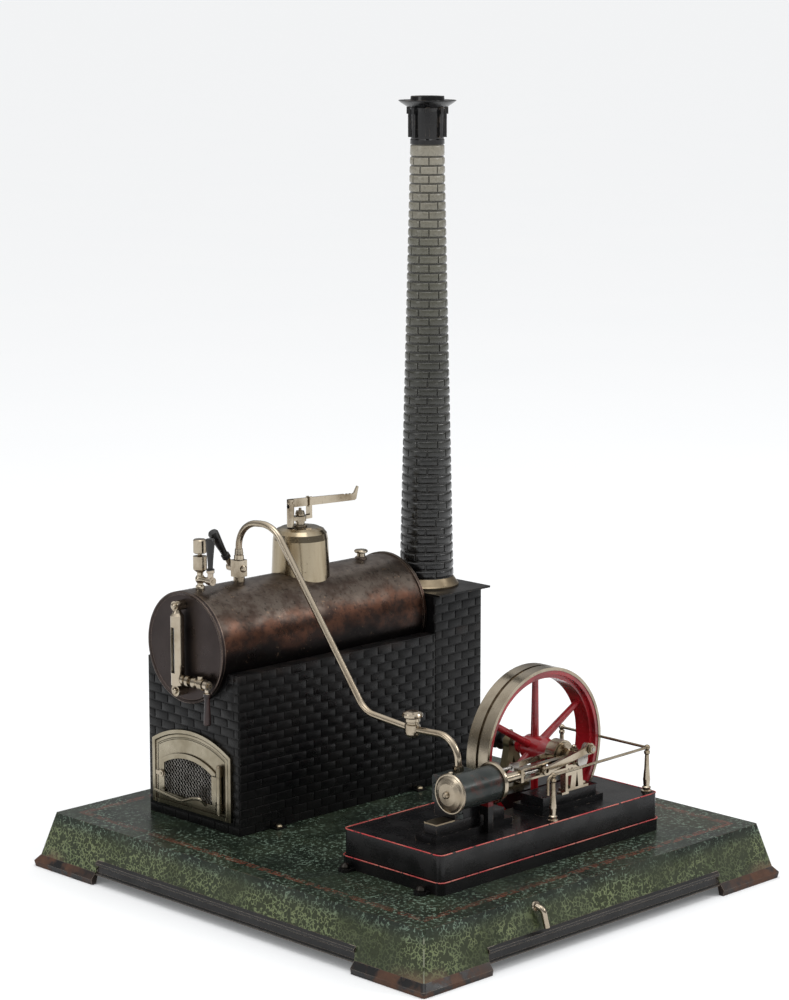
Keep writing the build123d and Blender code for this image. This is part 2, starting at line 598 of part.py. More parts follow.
def pipe_run(radius, bore=0.0):
    """Up out of the union, over a swan neck, down a long slope, then level to the steam chest."""
    route = [(BOILER_Y, 187.0), (BOILER_Y, 213.5), (61.5, 216.0), (-25.6, 94.8), (OILER_Y, OILER_Z),
             (-109.6, 91.2), (PIPE_END_Y, CHEST_TOP + 0.6)]
    return bent([on_pipe(y, z) for y, z in route], [19, 23, 20, 60, 17], radius, bore)


PIPE_ROOM = pipe_run(PIPE_R + SEAT)


def lubricator_body():
    x, y, z = on_pipe(OILER_Y, 0)
    body = turned((x, y, 84.6), Z, (0, 3.0), (0.8, 4.2), (2.2, 5.2), (4.0, 5.4), (8.6, 5.4), (9.4, 4.4),
                  (10.4, 4.4), (11.0, 5.2), (13.2, 5.2), (13.6, 4.8))
    return body - rod((x, y, 93.4), (x, y, 99), 2.2 + FIT) - PIPE_ROOM


def lubricator_cap():
    x, y, z = on_pipe(OILER_Y, 0)
    return turned((x, y, 94.6), Z, (0, 2.2), (3.8, 2.2), (3.8, 6.2), (4.4, 7.1), (5.8, 7.3), (7.0, 6.6),
                  (7.9, 4.0), (8.2, 0))


save("whistle_base", whistle_base())
save("whistle_bell", whistle_bell())
save("whistle_cock_handle", whistle_cock_lever(), whistle_cock_grip())
save("stop_valve_body", stop_valve_body())
save("stop_valve_handle", stop_valve_lever(), stop_valve_grip())
save("steam_dome", steam_dome())
save("safety_valve_body", safety_valve_body())
save("safety_valve_plug", safety_valve_plug())
save("safety_lever", safety_lever())
save("filler_plug", filler_plug())
save("steam_pipe", pipe_run(PIPE_R, PIPE_BORE))
save("lubricator_body", lubricator_body())
save("lubricator_cap", lubricator_cap())


# ---- engine bed ---------------------------------------------------------------------------------
PIT = (-10.3, 95.6, -100.9, -75.9)
FLANGE_TOP, FLANGE_OUT = 8.6, 1.3
BED_TOP = BED[4]
LUG_REACH = FLANGE_OUT + 4.6
LUG_PLACES = [(x, y) for x in (BED[0] - LUG_REACH, BED[1] + LUG_REACH) for y in (-134.0, -62.0)]


def rounded_block(x0, x1, y0, y1, z0, z1, radius):
    body = block(x0, x1, y0, y1, z0, z1)
    return fillet(body.edges().filter_by(Axis.Z), radius)


def engine_bed():
    """Hollow tin bed with a proud bottom flange and a walled pit for the flywheel."""
    x0, x1, y0, y1, height = BED
    out = FLANGE_OUT
    bed = rounded_block(x0, x1, y0, y1, 0, height, 4.0)
    bed += rounded_block(x0 - out, x1 + out, y0 - out, y1 + out, 0, FLANGE_TOP, 5.3)
    bed -= rounded_block(x0 + TIN, x1 - TIN, y0 + TIN, y1 - TIN, -1, height - TIN, 2.8)
    px0, px1, py0, py1 = PIT
    bed += block(px0 - TIN, px1 + TIN, py0 - TIN, py1 + TIN, 0, height)
    for x, y in LUG_PLACES:
        bed += block(min(x, x - copysign(5, x)), max(x, x - copysign(5, x)), y - 5, y + 5, 0, 2.0)
        bed += rod((x, y, 0), (x, y, 2.0), 5.0)
    bed += plinth(-97.0, -22.0, -127.0, -108.0, 4.5) + plinth(4.0, 67.0, -131.0, -103.4, 4.0)
    return bed - block(px0, px1, py0, py1, -1, height + 1)


def plinth(x0, x1, y0, y1, inset):
    """A two-step pressed plinth on the bed."""
    lower = block(x0, x1, y0, y1, BED_TOP, BED_TOP + STEP)
    upper = block(x0 + inset, x1 - inset, y0 + inset * 0.8, y1 - inset * 0.8, BED_TOP + STEP, PLINTH_TOP)
    return lower + upper


def bed_screws():
    return [turned((x, y, 2.0), Z, (0, 3.4), (1.4, 3.4), (3.0, 2.6), (3.6, 1.0)) for x, y in LUG_PLACES]


save("engine_bed", engine_bed())
save("hold_down_screws", *house_screws(), *bed_screws())


# ---- cylinder and steam chest -------------------------------------------------------------------
CYL_X0, CYL_X1, CYL_R = -84.0, -46.0, 12.2
CHEST = (-74.0, -46.0, -116.0, -101.0, 48.0)
PISTON_X = -65.0 + CROSSHEAD_X - (SHAFT_X - ROD_LENGTH)    # centred at mid-stroke
ROD_R = 1.6
VALVE_ROD_Y, VALVE_ROD_R = -111.8, 1.2
GUIDE_X0, GUIDE_X1 = -15.5, 29.5


def engine_axis(x):
    return (x, ENGINE_Y, SHAFT_Z)


def cylinder():
    barrel = rod(engine_axis(CYL_X0), engine_axis(CYL_X1), CYL_R)
    barrel += block(-72, -50, ENGINE_Y + 8, CHEST[2] - SEAT, 53, 65)
    drain_x, drain_z = -76.0, SHAFT_Z - 18.4
    barrel += rod((drain_x, ENGINE_Y, drain_z), (drain_x, ENGINE_Y, SHAFT_Z - 10), 1.5)
    barrel += rod((drain_x, ENGINE_Y, drain_z), (drain_x, ENGINE_Y, drain_z + 3.2), 2.4)
    return barrel - rod(engine_axis(CYL_X0 - 1), engine_axis(CYL_X1 + 1), BORE_R)


def cylinder_front_cover():
    return turned(engine_axis(CYL_X0), (-1, 0, 0), (0, 13.4), (1.2, 13.9), (2.2, 13.4), (2.2, 12.6),
                  (2.6, 11.9), (3.2, 11.0), (4.4, 7.5), (5.0, 3.0), (5.0, 2.6), (6.4, 2.4), (7.0, 1.2))


def cylinder_rear_cover():
    """Rear flange, gland and the tube that carries the crosshead guide."""
    length = GUIDE_X0 - CYL_X1
    cover = turned(engine_axis(CYL_X1), X, (0, 13.4), (0.8, 14.2), (2.4, 14.2), (3.0, 12.8), (3.6, 5.6),
                   (7.0, 5.2), (7.0, 3.5), (length, 3.5))
    return cover - rod(engine_axis(CYL_X1 - 1), engine_axis(GUIDE_X0 + 1), ROD_R + FIT)


def cylinder_stand():
    """The block between the plinth and the steam chest, and a small foot by the rear cover."""
    stand = block(-74.0, -50.0, -123.0, -103.0, PLINTH_TOP + SEAT, CHEST[4] - SEAT)
    stand += block(-51.0, -46.1, -131.5, -127.0 - SEAT, BED_TOP, SHAFT_Z - 11.0)
    stand += block(-51.0, -46.1, -131.5, -121.5, PLINTH_TOP + SEAT, SHAFT_Z - 11.0)
    return stand - rod(engine_axis(-90), engine_axis(-40), CYL_R + SEAT)


def cylinder_foot_plate():
    """Flat brass plate on the front end of the cylinder's plinth."""
    return block(-92.5, -75.0, -123.4, -111.6, PLINTH_TOP, PLINTH_TOP + 1.0)


def steam_chest():
    x0, x1, y0, y1, z0 = CHEST
    chest = fillet(block(x0, x1, y0, y1, z0, CHEST_TOP).edges().filter_by(Axis.X), 2.0)
    chest -= block(x0 + 3, x1 - 3, y0 + 2.5, y1 - 2.5, z0 + 3, CHEST_TOP - 3)
    chest -= rod((x1 - 4, VALVE_ROD_Y, SHAFT_Z), (x1 + 1, VALVE_ROD_Y, SHAFT_Z), VALVE_ROD_R + FIT)
    return chest - rod((PIPE_END_X, PIPE_END_Y, CHEST_TOP - 4), (PIPE_END_X, PIPE_END_Y, CHEST_TOP + 1), 1.6)


def chest_cover():
    return turned((CHEST[0], -108.5, 57.5), (-1, 0, 0), (0, 6.2), (1.6, 6.2), (2.4, 5.2), (2.4, 3.0),
                  (5.0, 3.0), (5.4, 2.2))


def pipe_union():
    nut = Plane(origin=(PIPE_END_X, PIPE_END_Y, CHEST_TOP + SEAT)) * extrude(RegularPolygon(3.9, 6),
                                                                             amount=4.2)
    return nut - PIPE_ROOM


def chest_screw():
    return turned((PIPE_END_X - 9.0, -112.0, CHEST_TOP + SEAT), Z, (0, 1.9), (1.4, 1.9), (2.2, 1.2), (2.3, 0))


def slide_valve():
    """Valve block on its rod, with the pin block outside the chest."""
    y, z = VALVE_ROD_Y, SHAFT_Z
    valve = rod((-64, y, z), (-6, y, z), VALVE_ROD_R)
    valve += block(-65.5, -56.5, y - 1.2, y + 5, z - 4, z + 3)
    valve += block(-8, -1, y - 1.8, y + 1.0, z - 2.2, z + 2.2)
    return valve


def piston():
    body = rod(engine_axis(PISTON_X - 4), engine_axis(PISTON_X + 4), BORE_R - FIT)
    for x in (PISTON_X - 2, PISTON_X + 2):
        groove = rod(engine_axis(x - 0.5), engine_axis(x + 0.5), BORE_R + 1)
        body -= groove - rod(engine_axis(x - 1), engine_axis(x + 1), BORE_R - 0.8)
    return body - rod(engine_axis(PISTON_X - 5), engine_axis(PISTON_X + 5), ROD_R + SEAT)


def piston_rod():
    return rod(engine_axis(PISTON_X - 4), engine_axis(CROSSHEAD_X - 3.0), ROD_R)


def crosshead():
    y = ENGINE_Y
    half = 3.1 - GAP / 2
    body = block(CROSSHEAD_X - 3.0, CROSSHEAD_X + 3.5, y - 2.2, y + 2.2, SHAFT_Z - half, SHAFT_Z + half)
    return body + rod((CROSSHEAD_X, y - 2, SHAFT_Z), (CROSSHEAD_X, y - 3.9, SHAFT_Z), PIN_R)


def crosshead_guide():
    """Two flat bars between a yoke on the gland tube and a yoke on the crank plinth."""
    y = ENGINE_Y
    guide = block(GUIDE_X0 - 4, GUIDE_X0 - 1.5, y - 3.6, y + 3.6, SHAFT_Z - 4.6, SHAFT_Z + 4.6)
    for z in (SHAFT_Z - 4.6, SHAFT_Z + 3.1):
        guide += block(GUIDE_X0 - 4, GUIDE_X1, y - 2.4, y + 2.4, z, z + 1.5)
    guide += block(GUIDE_X1 - 2.4, GUIDE_X1, y - 2.4, y + 2.4, PLINTH_TOP + SEAT, SHAFT_Z + 4.6)
    guide += block(GUIDE_X1 - 6, GUIDE_X1 + 1.0, y - 2.4, y + 2.4, PLINTH_TOP + SEAT, PLINTH_TOP + 1.6)
    side = block(GUIDE_X1 - 2.4, SHAFT_X - 5.0, y - 0.4, y + 1.2, 50.5, 58.0)
    for x in (GUIDE_X1 + 2.4, GUIDE_X1 + 6.2):
        side -= rod((x, y - 5, 55.0), (x, y + 5, 55.0), 0.9)
    guide += side
    return guide - rod(engine_axis(GUIDE_X0 - 6), engine_axis(GUIDE_X0 + 1), 3.5 + SEAT)


save("cylinder", cylinder())
save("cylinder_front_cover", cylinder_front_cover())
save("cylinder_rear_cover", cylinder_rear_cover())
save("cylinder_stand", cylinder_stand())
save("steam_chest", steam_chest() + chest_cover())
save("pipe_unions", union_nut(), pipe_union(), chest_screw())
save("slide_valve", slide_valve())
save("piston", piston(), piston_rod())
save("crosshead", crosshead())
save("crosshead_guide", crosshead_guide())
save("cylinder_foot_plate", cylinder_foot_plate())


# ---- crank, eccentric, flywheel -----------------------------------------------------------------
CONROD_Y0, CONROD_Y1 = -135.4, -133.2
WASHER_Y, NUT_Y = -135.8, -136.3   # back faces of the crank pin's washer and nut
PIN_END = -138.4
WEB_Y0, WEB_Y1 = -132.9, -130.0
BEARING_Y0, BEARING_Y1 = -127.6, -121.0
STRAP_Y0, STRAP_Y1 = -117.0, -110.6
ROD_SLAB_Y0, ROD_SLAB_Y1 = -110.3, -108.5
FAR_Y0, FAR_Y1 = -67.4, -61.4
HUB_Y0 = WHEEL_Y0 - 8.0
NEAR_FOOT, FAR_FOOT = (7.0, 12.0), (12.0, 17.0)    # half widths: legs, then foot
SHEAVE_R = 7.0
VALVE_PIN_X = -4.0


def shaft_rod(y0, y1, radius):
    return rod((SHAFT_X, y0, SHAFT_Z), (SHAFT_X, y1, SHAFT_Z), radius)


def crankshaft():
    return shaft_rod(WEB_Y1 - 1.0, FAR_Y1 + 14.0, SHAFT_R)


def link(x0, z0, r0, x1, z1, r1, y0, y1, waist):
    """A flat link with two round eyes."""
    angle = atan2(z1 - z0, x1 - x0)
    nx, nz = -sin(angle) * waist, cos(angle) * waist
    bar = Polyline((x0 + nx, z0 + nz), (x1 + nx, z1 + nz), (x1 - nx, z1 - nz), (x0 - nx, z0 - nz), close=True)
    body = Pos(0, y1, 0) * extrude(Plane.XZ * make_face(bar), amount=y1 - y0)
    for x, z, radius in ((x0, z0, r0), (x1, z1, r1)):
        body += rod((x, y0, z), (x, y1, z), radius)
    return body


def crank_web():
    web = link(SHAFT_X, SHAFT_Z, 5.2, CRANK_PIN_X, CRANK_PIN_Z, 3.6, WEB_Y0, WEB_Y1, 3.4)
    return web + rod((CRANK_PIN_X, WEB_Y0 + 1, CRANK_PIN_Z), (CRANK_PIN_X, PIN_END, CRANK_PIN_Z), PIN_R)


def crank_pin_nut():
    washer = rod((CRANK_PIN_X, WASHER_Y, CRANK_PIN_Z), (CRANK_PIN_X, NUT_Y, CRANK_PIN_Z), 3.4)
    hexagon = Plane(origin=(CRANK_PIN_X, NUT_Y, CRANK_PIN_Z), z_dir=(0, -1, 0)) * extrude(
        RegularPolygon(3.0, 6), amount=NUT_Y - PIN_END - 0.3)
    room = rod((CRANK_PIN_X, WEB_Y1, CRANK_PIN_Z), (CRANK_PIN_X, PIN_END - 5, CRANK_PIN_Z), PIN_R + SEAT)
    return washer + hexagon - room


def connecting_rod():
    conrod = link(CRANK_PIN_X, CRANK_PIN_Z, 4.0, CROSSHEAD_X, SHAFT_Z, 3.2, CONROD_Y0, CONROD_Y1, 2.4)
    for x, z in ((CRANK_PIN_X, CRANK_PIN_Z), (CROSSHEAD_X, SHAFT_Z)):
        conrod -= rod((x, CONROD_Y0 - 1, z), (x, CONROD_Y1 + 1, z), PIN_R + FIT)
    return conrod


def eccentric_sheave():
    x, z = ECCENTRIC_X, ECCENTRIC_Z
    sheave = rod((x, STRAP_Y0 - 1.4, z), (x, STRAP_Y1, z), SHEAVE_R)
    sheave += rod((x, STRAP_Y0 - 1.4, z), (x, STRAP_Y0 - GAP, z), SHEAVE_R + 1.4)
    return sheave - shaft_rod(STRAP_Y0 - 3, STRAP_Y1 + 1, SHAFT_R + SEAT)


def eccentric_rod():
    """Strap round the sheave, with the flat rod that reaches to the valve rod's end."""
    x, z = ECCENTRIC_X, ECCENTRIC_Z
    strap = rod((x, STRAP_Y0, z), (x, STRAP_Y1, z), SHEAVE_R + 3.2)
    reach = link(x, z, SHEAVE_R + 3.2, VALVE_PIN_X, SHAFT_Z, 2.6, ROD_SLAB_Y0, ROD_SLAB_Y1, 1.8)
    strap += rod((x, STRAP_Y1, z), (x, ROD_SLAB_Y0, z), SHEAVE_R + 3.2) + reach
    strap -= rod((x, STRAP_Y0 - 1, z), (x, ROD_SLAB_Y0, z), SHEAVE_R + FIT)
    strap -= rod((x, ROD_SLAB_Y0 - 1, z), (x, ROD_SLAB_Y1 + 1, z), SHAFT_R + ECCENTRICITY + 1.0)
    return strap - rod((VALVE_PIN_X, ROD_SLAB_Y0 - 1, SHAFT_Z), (VALVE_PIN_X, ROD_SLAB_Y1 + 1, SHAFT_Z), 1.2)


def pedestal(y0, y1, foot_z, half, bolt_spread):
    """A crankshaft bearing: splayed legs, a round head and a foot."""
    legs = Polyline((SHAFT_X - half, foot_z), (SHAFT_X + half, foot_z), (SHAFT_X + 4.5, SHAFT_Z - 2),
                    (SHAFT_X - 4.5, SHAFT_Z - 2), close=True)
    body = Pos(0, y1, 0) * extrude(Plane.XZ * make_face(legs), amount=y1 - y0)
    arch = Polyline((SHAFT_X - half + 5, foot_z - 1), (SHAFT_X + half - 5, foot_z - 1),
                    (SHAFT_X, SHAFT_Z - 9), close=True)
    body -= Pos(0, y1 + 1, 0) * extrude(Plane.XZ * make_face(arch), amount=y1 - y0 + 2)
    body += shaft_rod(y0, y1, 5.4)
    body += block(SHAFT_X - 2.0, SHAFT_X + 2.0, y0 + 1.4, y1 - 1.4, SHAFT_Z + 4, SHAFT_Z + 7)
    body += turned((SHAFT_X, (y0 + y1) / 2, SHAFT_Z + 7), Z, (0, 1.6), (1.6, 1.6), (2.2, 0.8))
    foot = block(SHAFT_X - bolt_spread, SHAFT_X + bolt_spread, y0, y1, foot_z, foot_z + 1.8)
    return body + foot - shaft_rod(y0 - 1, y1 + 1, SHAFT_R + FIT)


def bearing_bolts():
    bolts = []
    for y0, y1, z, (_, spread) in ((BEARING_Y0, BEARING_Y1, PLINTH_TOP, NEAR_FOOT),
                                   (FAR_Y0, FAR_Y1, BED_TOP, FAR_FOOT)):
        for side in (-1, 1):
            place = (SHAFT_X + side * (spread - 2.2), (y0 + y1) / 2, z + 1.8 + SEAT)
            bolts.append(turned(place, Z, (0, 2.0), (1.4, 2.0), (1.9, 1.2)))
    return bolts


RIM_INNER = 57.0


def flywheel_rim():
    """Plated rim with one groove round its middle."""
    middle = (WHEEL_Y0 + WHEEL_Y1) / 2
    rim = shaft_rod(WHEEL_Y0, WHEEL_Y1, WHEEL_R) - shaft_rod(WHEEL_Y0 - 1, WHEEL_Y1 + 1, RIM_INNER)
    groove = shaft_rod(middle - 1.2, middle + 1.2, WHEEL_R + 1)
    return rim - (groove - shaft_rod(WHEEL_Y0, WHEEL_Y1, WHEEL_R - 1.4))


def flywheel_centre():
    """Red casting: a stepped inner ring, six tapered spokes and the hub."""
    y0, y1 = WHEEL_Y0 + 3.5, WHEEL_Y1 - 3.5
    middle = (y0 + y1) / 2
    wheel = shaft_rod(WHEEL_Y0 + 0.5, WHEEL_Y1 - 0.5, RIM_INNER - SEAT) - shaft_rod(WHEEL_Y0, WHEEL_Y1, 54.2)
    wheel += shaft_rod(y0, y1, 55.0) - shaft_rod(y0 - 1, y1 + 1, 51.2)
    spoke = rod((SHAFT_X + 6, middle, SHAFT_Z), (SHAFT_X + 52, middle, SHAFT_Z), 3.0, 2.2)
    hub_axis = (SHAFT_X, 0, SHAFT_Z)
    for shape in ring_of(6, spoke.rotate(Axis(hub_axis, Y), -30), hub_axis, Y):
        wheel += shape
    wheel += turned((SHAFT_X, HUB_Y0, SHAFT_Z), Y, (0, 5.6), (4, 6.0), (8, 9.0), (24, 9.0), (28, 6.5),
                    (32, 6.0))
    return wheel - shaft_rod(HUB_Y0 - 1, HUB_Y0 + 34, SHAFT_R + SEAT)


def drive_pulley():
    pulley = turned((SHAFT_X, FAR_Y1 + 5, SHAFT_Z), Y, (0, 6.9), (1.0, 6.9), (1.4, 6.1), (5.6, 6.1),
                    (6.0, 6.9), (7.0, 6.9))
    return pulley - shaft_rod(FAR_Y1, FAR_Y1 + 15, SHAFT_R + SEAT)


save("crankshaft", crankshaft() + crank_web())
save("crank_pin_nut", crank_pin_nut())
save("connecting_rod", connecting_rod())
save("eccentric_sheave", eccentric_sheave())
save("eccentric_rod", eccentric_rod())
save("near_bearing", pedestal(BEARING_Y0, BEARING_Y1, PLINTH_TOP + SEAT, *NEAR_FOOT))
save("far_bearing", pedestal(FAR_Y0, FAR_Y1, BED_TOP, *FAR_FOOT))
save("bearing_bolts", *bearing_bolts())
save("flywheel_rim", flywheel_rim())
save("flywheel_centre", flywheel_centre())
save("drive_pulley", drive_pulley())


# ---- handrail -----------------------------------------------------------------------------------
RAIL_Z, RAIL_R = 59.2, 1.0
POSTS = [(1.9, -142.4), (104.2, -139.4), (104.2, -58.3)]


def rails():
    (ax, ay), (bx, by), (cx, cy) = POSTS
    curl = [(ax - 5.2, ay, RAIL_Z - 13.0), (ax - 5.2, ay, RAIL_Z), (bx, by, RAIL_Z)]
    return bent(curl, [4.0], RAIL_R), rod((bx, by, RAIL_Z), (cx, cy, RAIL_Z), RAIL_R)


def handrail_posts():
    posts = []
    for x, y in POSTS:
        post = turned((x, y, BED_TOP), Z, (0, 3.9), (1.0, 3.9), (1.6, 2.8), (3.4, 3.2), (4.2, 2.2), (9, 2.6),
                      (18, 1.8), (27, 1.5), (28, 2.2), (29.4, 2.2), (30.2, 1.4), (32.0, 1.4))
        posts.append(post + ball((x, y, RAIL_Z), 2.2))
    return posts


front_rail, side_rail = rails()
posts = handrail_posts()
for post in posts:
    front_rail -= post
    side_rail -= post
save("handrail_posts", *posts)
save("handrails", front_rail, side_rail)
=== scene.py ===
"""Looks of the model steam engine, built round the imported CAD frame."""
import json
import math

import bmesh
import bpy
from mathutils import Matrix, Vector


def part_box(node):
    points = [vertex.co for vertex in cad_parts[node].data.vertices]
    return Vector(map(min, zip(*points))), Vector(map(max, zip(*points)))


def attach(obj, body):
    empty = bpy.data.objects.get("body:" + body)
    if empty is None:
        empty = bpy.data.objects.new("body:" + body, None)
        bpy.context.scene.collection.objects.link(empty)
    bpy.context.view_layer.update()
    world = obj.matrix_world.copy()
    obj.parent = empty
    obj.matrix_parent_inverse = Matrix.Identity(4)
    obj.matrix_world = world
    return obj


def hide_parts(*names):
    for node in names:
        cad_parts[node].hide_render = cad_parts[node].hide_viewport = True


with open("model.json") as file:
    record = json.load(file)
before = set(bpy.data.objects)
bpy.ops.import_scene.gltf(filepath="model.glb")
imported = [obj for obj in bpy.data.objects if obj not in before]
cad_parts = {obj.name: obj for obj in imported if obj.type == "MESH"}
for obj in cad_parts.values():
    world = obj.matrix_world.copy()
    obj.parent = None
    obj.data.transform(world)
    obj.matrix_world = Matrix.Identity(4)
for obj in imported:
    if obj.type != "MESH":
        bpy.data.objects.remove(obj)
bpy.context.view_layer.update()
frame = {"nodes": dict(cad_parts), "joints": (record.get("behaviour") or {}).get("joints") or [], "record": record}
nodes = frame["nodes"]
MM = 0.001

# ---- places read from the frame -------------------------------------------------------------------
DECK_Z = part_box("base_tray")[1].z       # top of the tray, which everything stands on
TAB_REACH = 6.5 * MM                    # the house's fixing tabs stand out this far on both long sides
house_lo, house_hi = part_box("boiler_house")
HOUSE_Y0, HOUSE_Y1 = house_lo.y + TAB_REACH, house_hi.y - TAB_REACH
block_lo, block_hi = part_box("chimney_block")
door_lo, door_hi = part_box("fire_door_frame")
boiler_lo, boiler_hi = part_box("boiler_front_end")
BOILER = ((boiler_lo.y + boiler_hi.y) / 2, (boiler_lo.z + boiler_hi.z) / 2, (boiler_hi.z - boiler_lo.z) / 2)
stack_lo, stack_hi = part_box("chimney_stack")
STACK_X, STACK_Y = (stack_lo.x + stack_hi.x) / 2, (stack_lo.y + stack_hi.y) / 2
bed_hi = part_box("engine_bed")[1]

# ---- brickwork sizes ------------------------------------------------------------------------------
BRICK_LENGTH = 14.3 * MM
BRICK_COURSE = 6.6 * MM
STACK_BRICK = 15.5 * MM
BRICK_JOINT = 0.9 * MM
BRICK_RISE = 0.55 * MM
BRICK_PROFILE = [(0.0, -0.1), (0.12, 0.7), (0.5, 1.0)]      # (inset in mm, share of the rise)
STACK_RISE = 0.85 * MM
STACK_PROFILE = [(0.0, -0.1), (0.3, 0.5), (0.8, 0.85), (1.6, 1.0)]
STACK_BAND = 9.0 * MM            # plain band under the chimney's cap
STACK_TURN = 0.35                # where the first upright joint stands, in radians
UPRIGHT_JOINT = 0.6              # width of the stack's upright joints over its level ones
LEAST_GAP = 1.2 * MM             # a course ends when less than this is left of it
LEAST_BRICK = 2.2 * MM           # a shorter end piece is left out
DOOR_MARGIN = 3 * MM             # bricks reach this far behind the fire door's plate
DOOR_CROWN = 12 * MM             # and this far down behind its arch
BOILER_MARGIN = 0.8 * MM         # gap between the front wall's bricks and the boiler
REAR_MARGIN = 6 * MM             # bricks keep this far from the boiler's rear end
HOUSE_CLEARANCE = 1.5 * MM       # the block's boiler-side bricks start this far above the house

# ---- painted lines and fire door gauze ------------------------------------------------------------
BED_HEIGHT = 27.1 * MM           # the bed's top edge, above the tray
FLANGE_HEIGHT = 8.6 * MM         # the top edge of the bed's flange, above the tray
LINE_STEP, LINE_RADIUS = 6 * MM, 0.42 * MM
GAUZE_PITCH, GAUZE_WIRE = 2.3 * MM, 0.21 * MM       # distance between wires, and a wire's radius
LEAST_WIRE = 1.5 * MM            # a shorter wire is left out
SCREW_SPLIT = 6 * MM             # screws nearer to the bed than this are its blackened ones


# ---- mesh helpers ---------------------------------------------------------------------------------
def add_piece(name, verts, faces, material, body="frame", replaced=(), crease=35.0):
    """A mesh piece in the row frame that rides on a CAD body."""
    mesh = bpy.data.meshes.new(name)
    mesh.from_pydata([tuple(v) for v in verts], [], faces)
    mesh.validate()
    builder = bmesh.new()
    builder.from_mesh(mesh)
    bmesh.ops.recalc_face_normals(builder, faces=builder.faces)
    builder.to_mesh(mesh)
    builder.free()
    mesh.polygons.foreach_set("use_smooth", [True] * len(mesh.polygons))
    mesh.set_sharp_from_angle(angle=math.radians(crease))
    mesh.materials.append(material)
    piece = bpy.data.objects.new(name, mesh)
    bpy.context.scene.collection.objects.link(piece)
    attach(piece, body)
    if replaced:
        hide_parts(*replaced)
    return piece


def convex_hull(points):
    """Corners of the points' convex hull, anticlockwise."""
    points = sorted(set((round(a, 6), round(b, 6)) for a, b in points))

    def half(source):
        chain = []
        for p in source:
            while len(chain) > 1 and cross2(chain[-2], chain[-1], p) <= 0:
                chain.pop()
            chain.append(p)
        return chain[:-1]

    return half(points) + half(points[::-1])


def cross2(a, b, c):
    """Positive where c lies to the left of the line from a to b."""
    return (b[0] - a[0]) * (c[1] - a[1]) - (b[1] - a[1]) * (c[0] - a[0])


def clip(polygon, point, normal):
    """The part of a convex polygon on the side of a line that its normal points to."""
    kept = []
    for i, a in enumerate(polygon):
        b = polygon[(i + 1) % len(polygon)]
        da = (a[0] - point[0]) * normal[0] + (a[1] - point[1]) * normal[1]
        db = (b[0] - point[0]) * normal[0] + (b[1] - point[1]) * normal[1]
        if da >= 0:
            kept.append(a)
        if (da > 0 > db) or (da < 0 < db):
            t = da / (da - db)
            kept.append((a[0] + (b[0] - a[0]) * t, a[1] + (b[1] - a[1]) * t))
    return kept


def inset(polygon, distance):
    """A convex anticlockwise polygon with every side moved inwards."""
    result = list(polygon)
    for i, a in enumerate(polygon):
        b = polygon[(i + 1) % len(polygon)]
        length = math.hypot(b[0] - a[0], b[1] - a[1])
        if length < 1e-7:
            continue
        normal = ((a[1] - b[1]) / length, (b[0] - a[0]) / length)
        start = (a[0] + normal[0] * distance, a[1] + normal[1] * distance)
        result = clip(result, start, normal)
        if len(result) < 3:
            return []
    return result


def tube(verts, faces, path, radius, sides=6, closed=False):
    """Adds a round tube along a path of points to a mesh under construction."""
    count = len(path)
    start = len(verts)
    side_way = None
    for i, point in enumerate(path):
        before = path[i - 1] if (i or closed) else path[i]
        after = path[(i + 1) % count] if (i < count - 1 or closed) else path[i]
        along = (after - before).normalized()
        if side_way is None:
            side_way = along.orthogonal().normalized()
        side_way = (side_way - along * side_way.dot(along)).normalized()
        other = along.cross(side_way)
        for k in range(sides):
            turn = 2 * math.pi * k / sides
            verts.append(point + side_way * (radius * math.cos(turn)) + other * (radius * math.sin(turn)))
    for i in range(count if closed else count - 1):
        for k in range(sides):
            a, b = start + i * sides, start + ((i + 1) % count) * sides
            faces.append((a + k, a + (k + 1) % sides, b + (k + 1) % sides, b + k))
    if not closed:
        faces.append(tuple(start + k for k in range(sides)))
        faces.append(tuple(start + (count - 1) * sides + k for k in reversed(range(sides))))


def level_outline(node, height):
    """Outline, seen from above, of a CAD node's corners at one height."""
    found = [(v.co.x, v.co.y) for v in nodes[node].data.vertices if abs(v.co.z - height) < 0.02 * MM]
    return convex_hull(found)


def ring_radius(node, height, centre):
    """Largest distance from an upright axis of a CAD node's corners at one height."""
    return max(math.hypot(v.co.x - centre[0], v.co.y - centre[1])
               for v in nodes[node].data.vertices if abs(v.co.z - height) < 0.1 * MM)


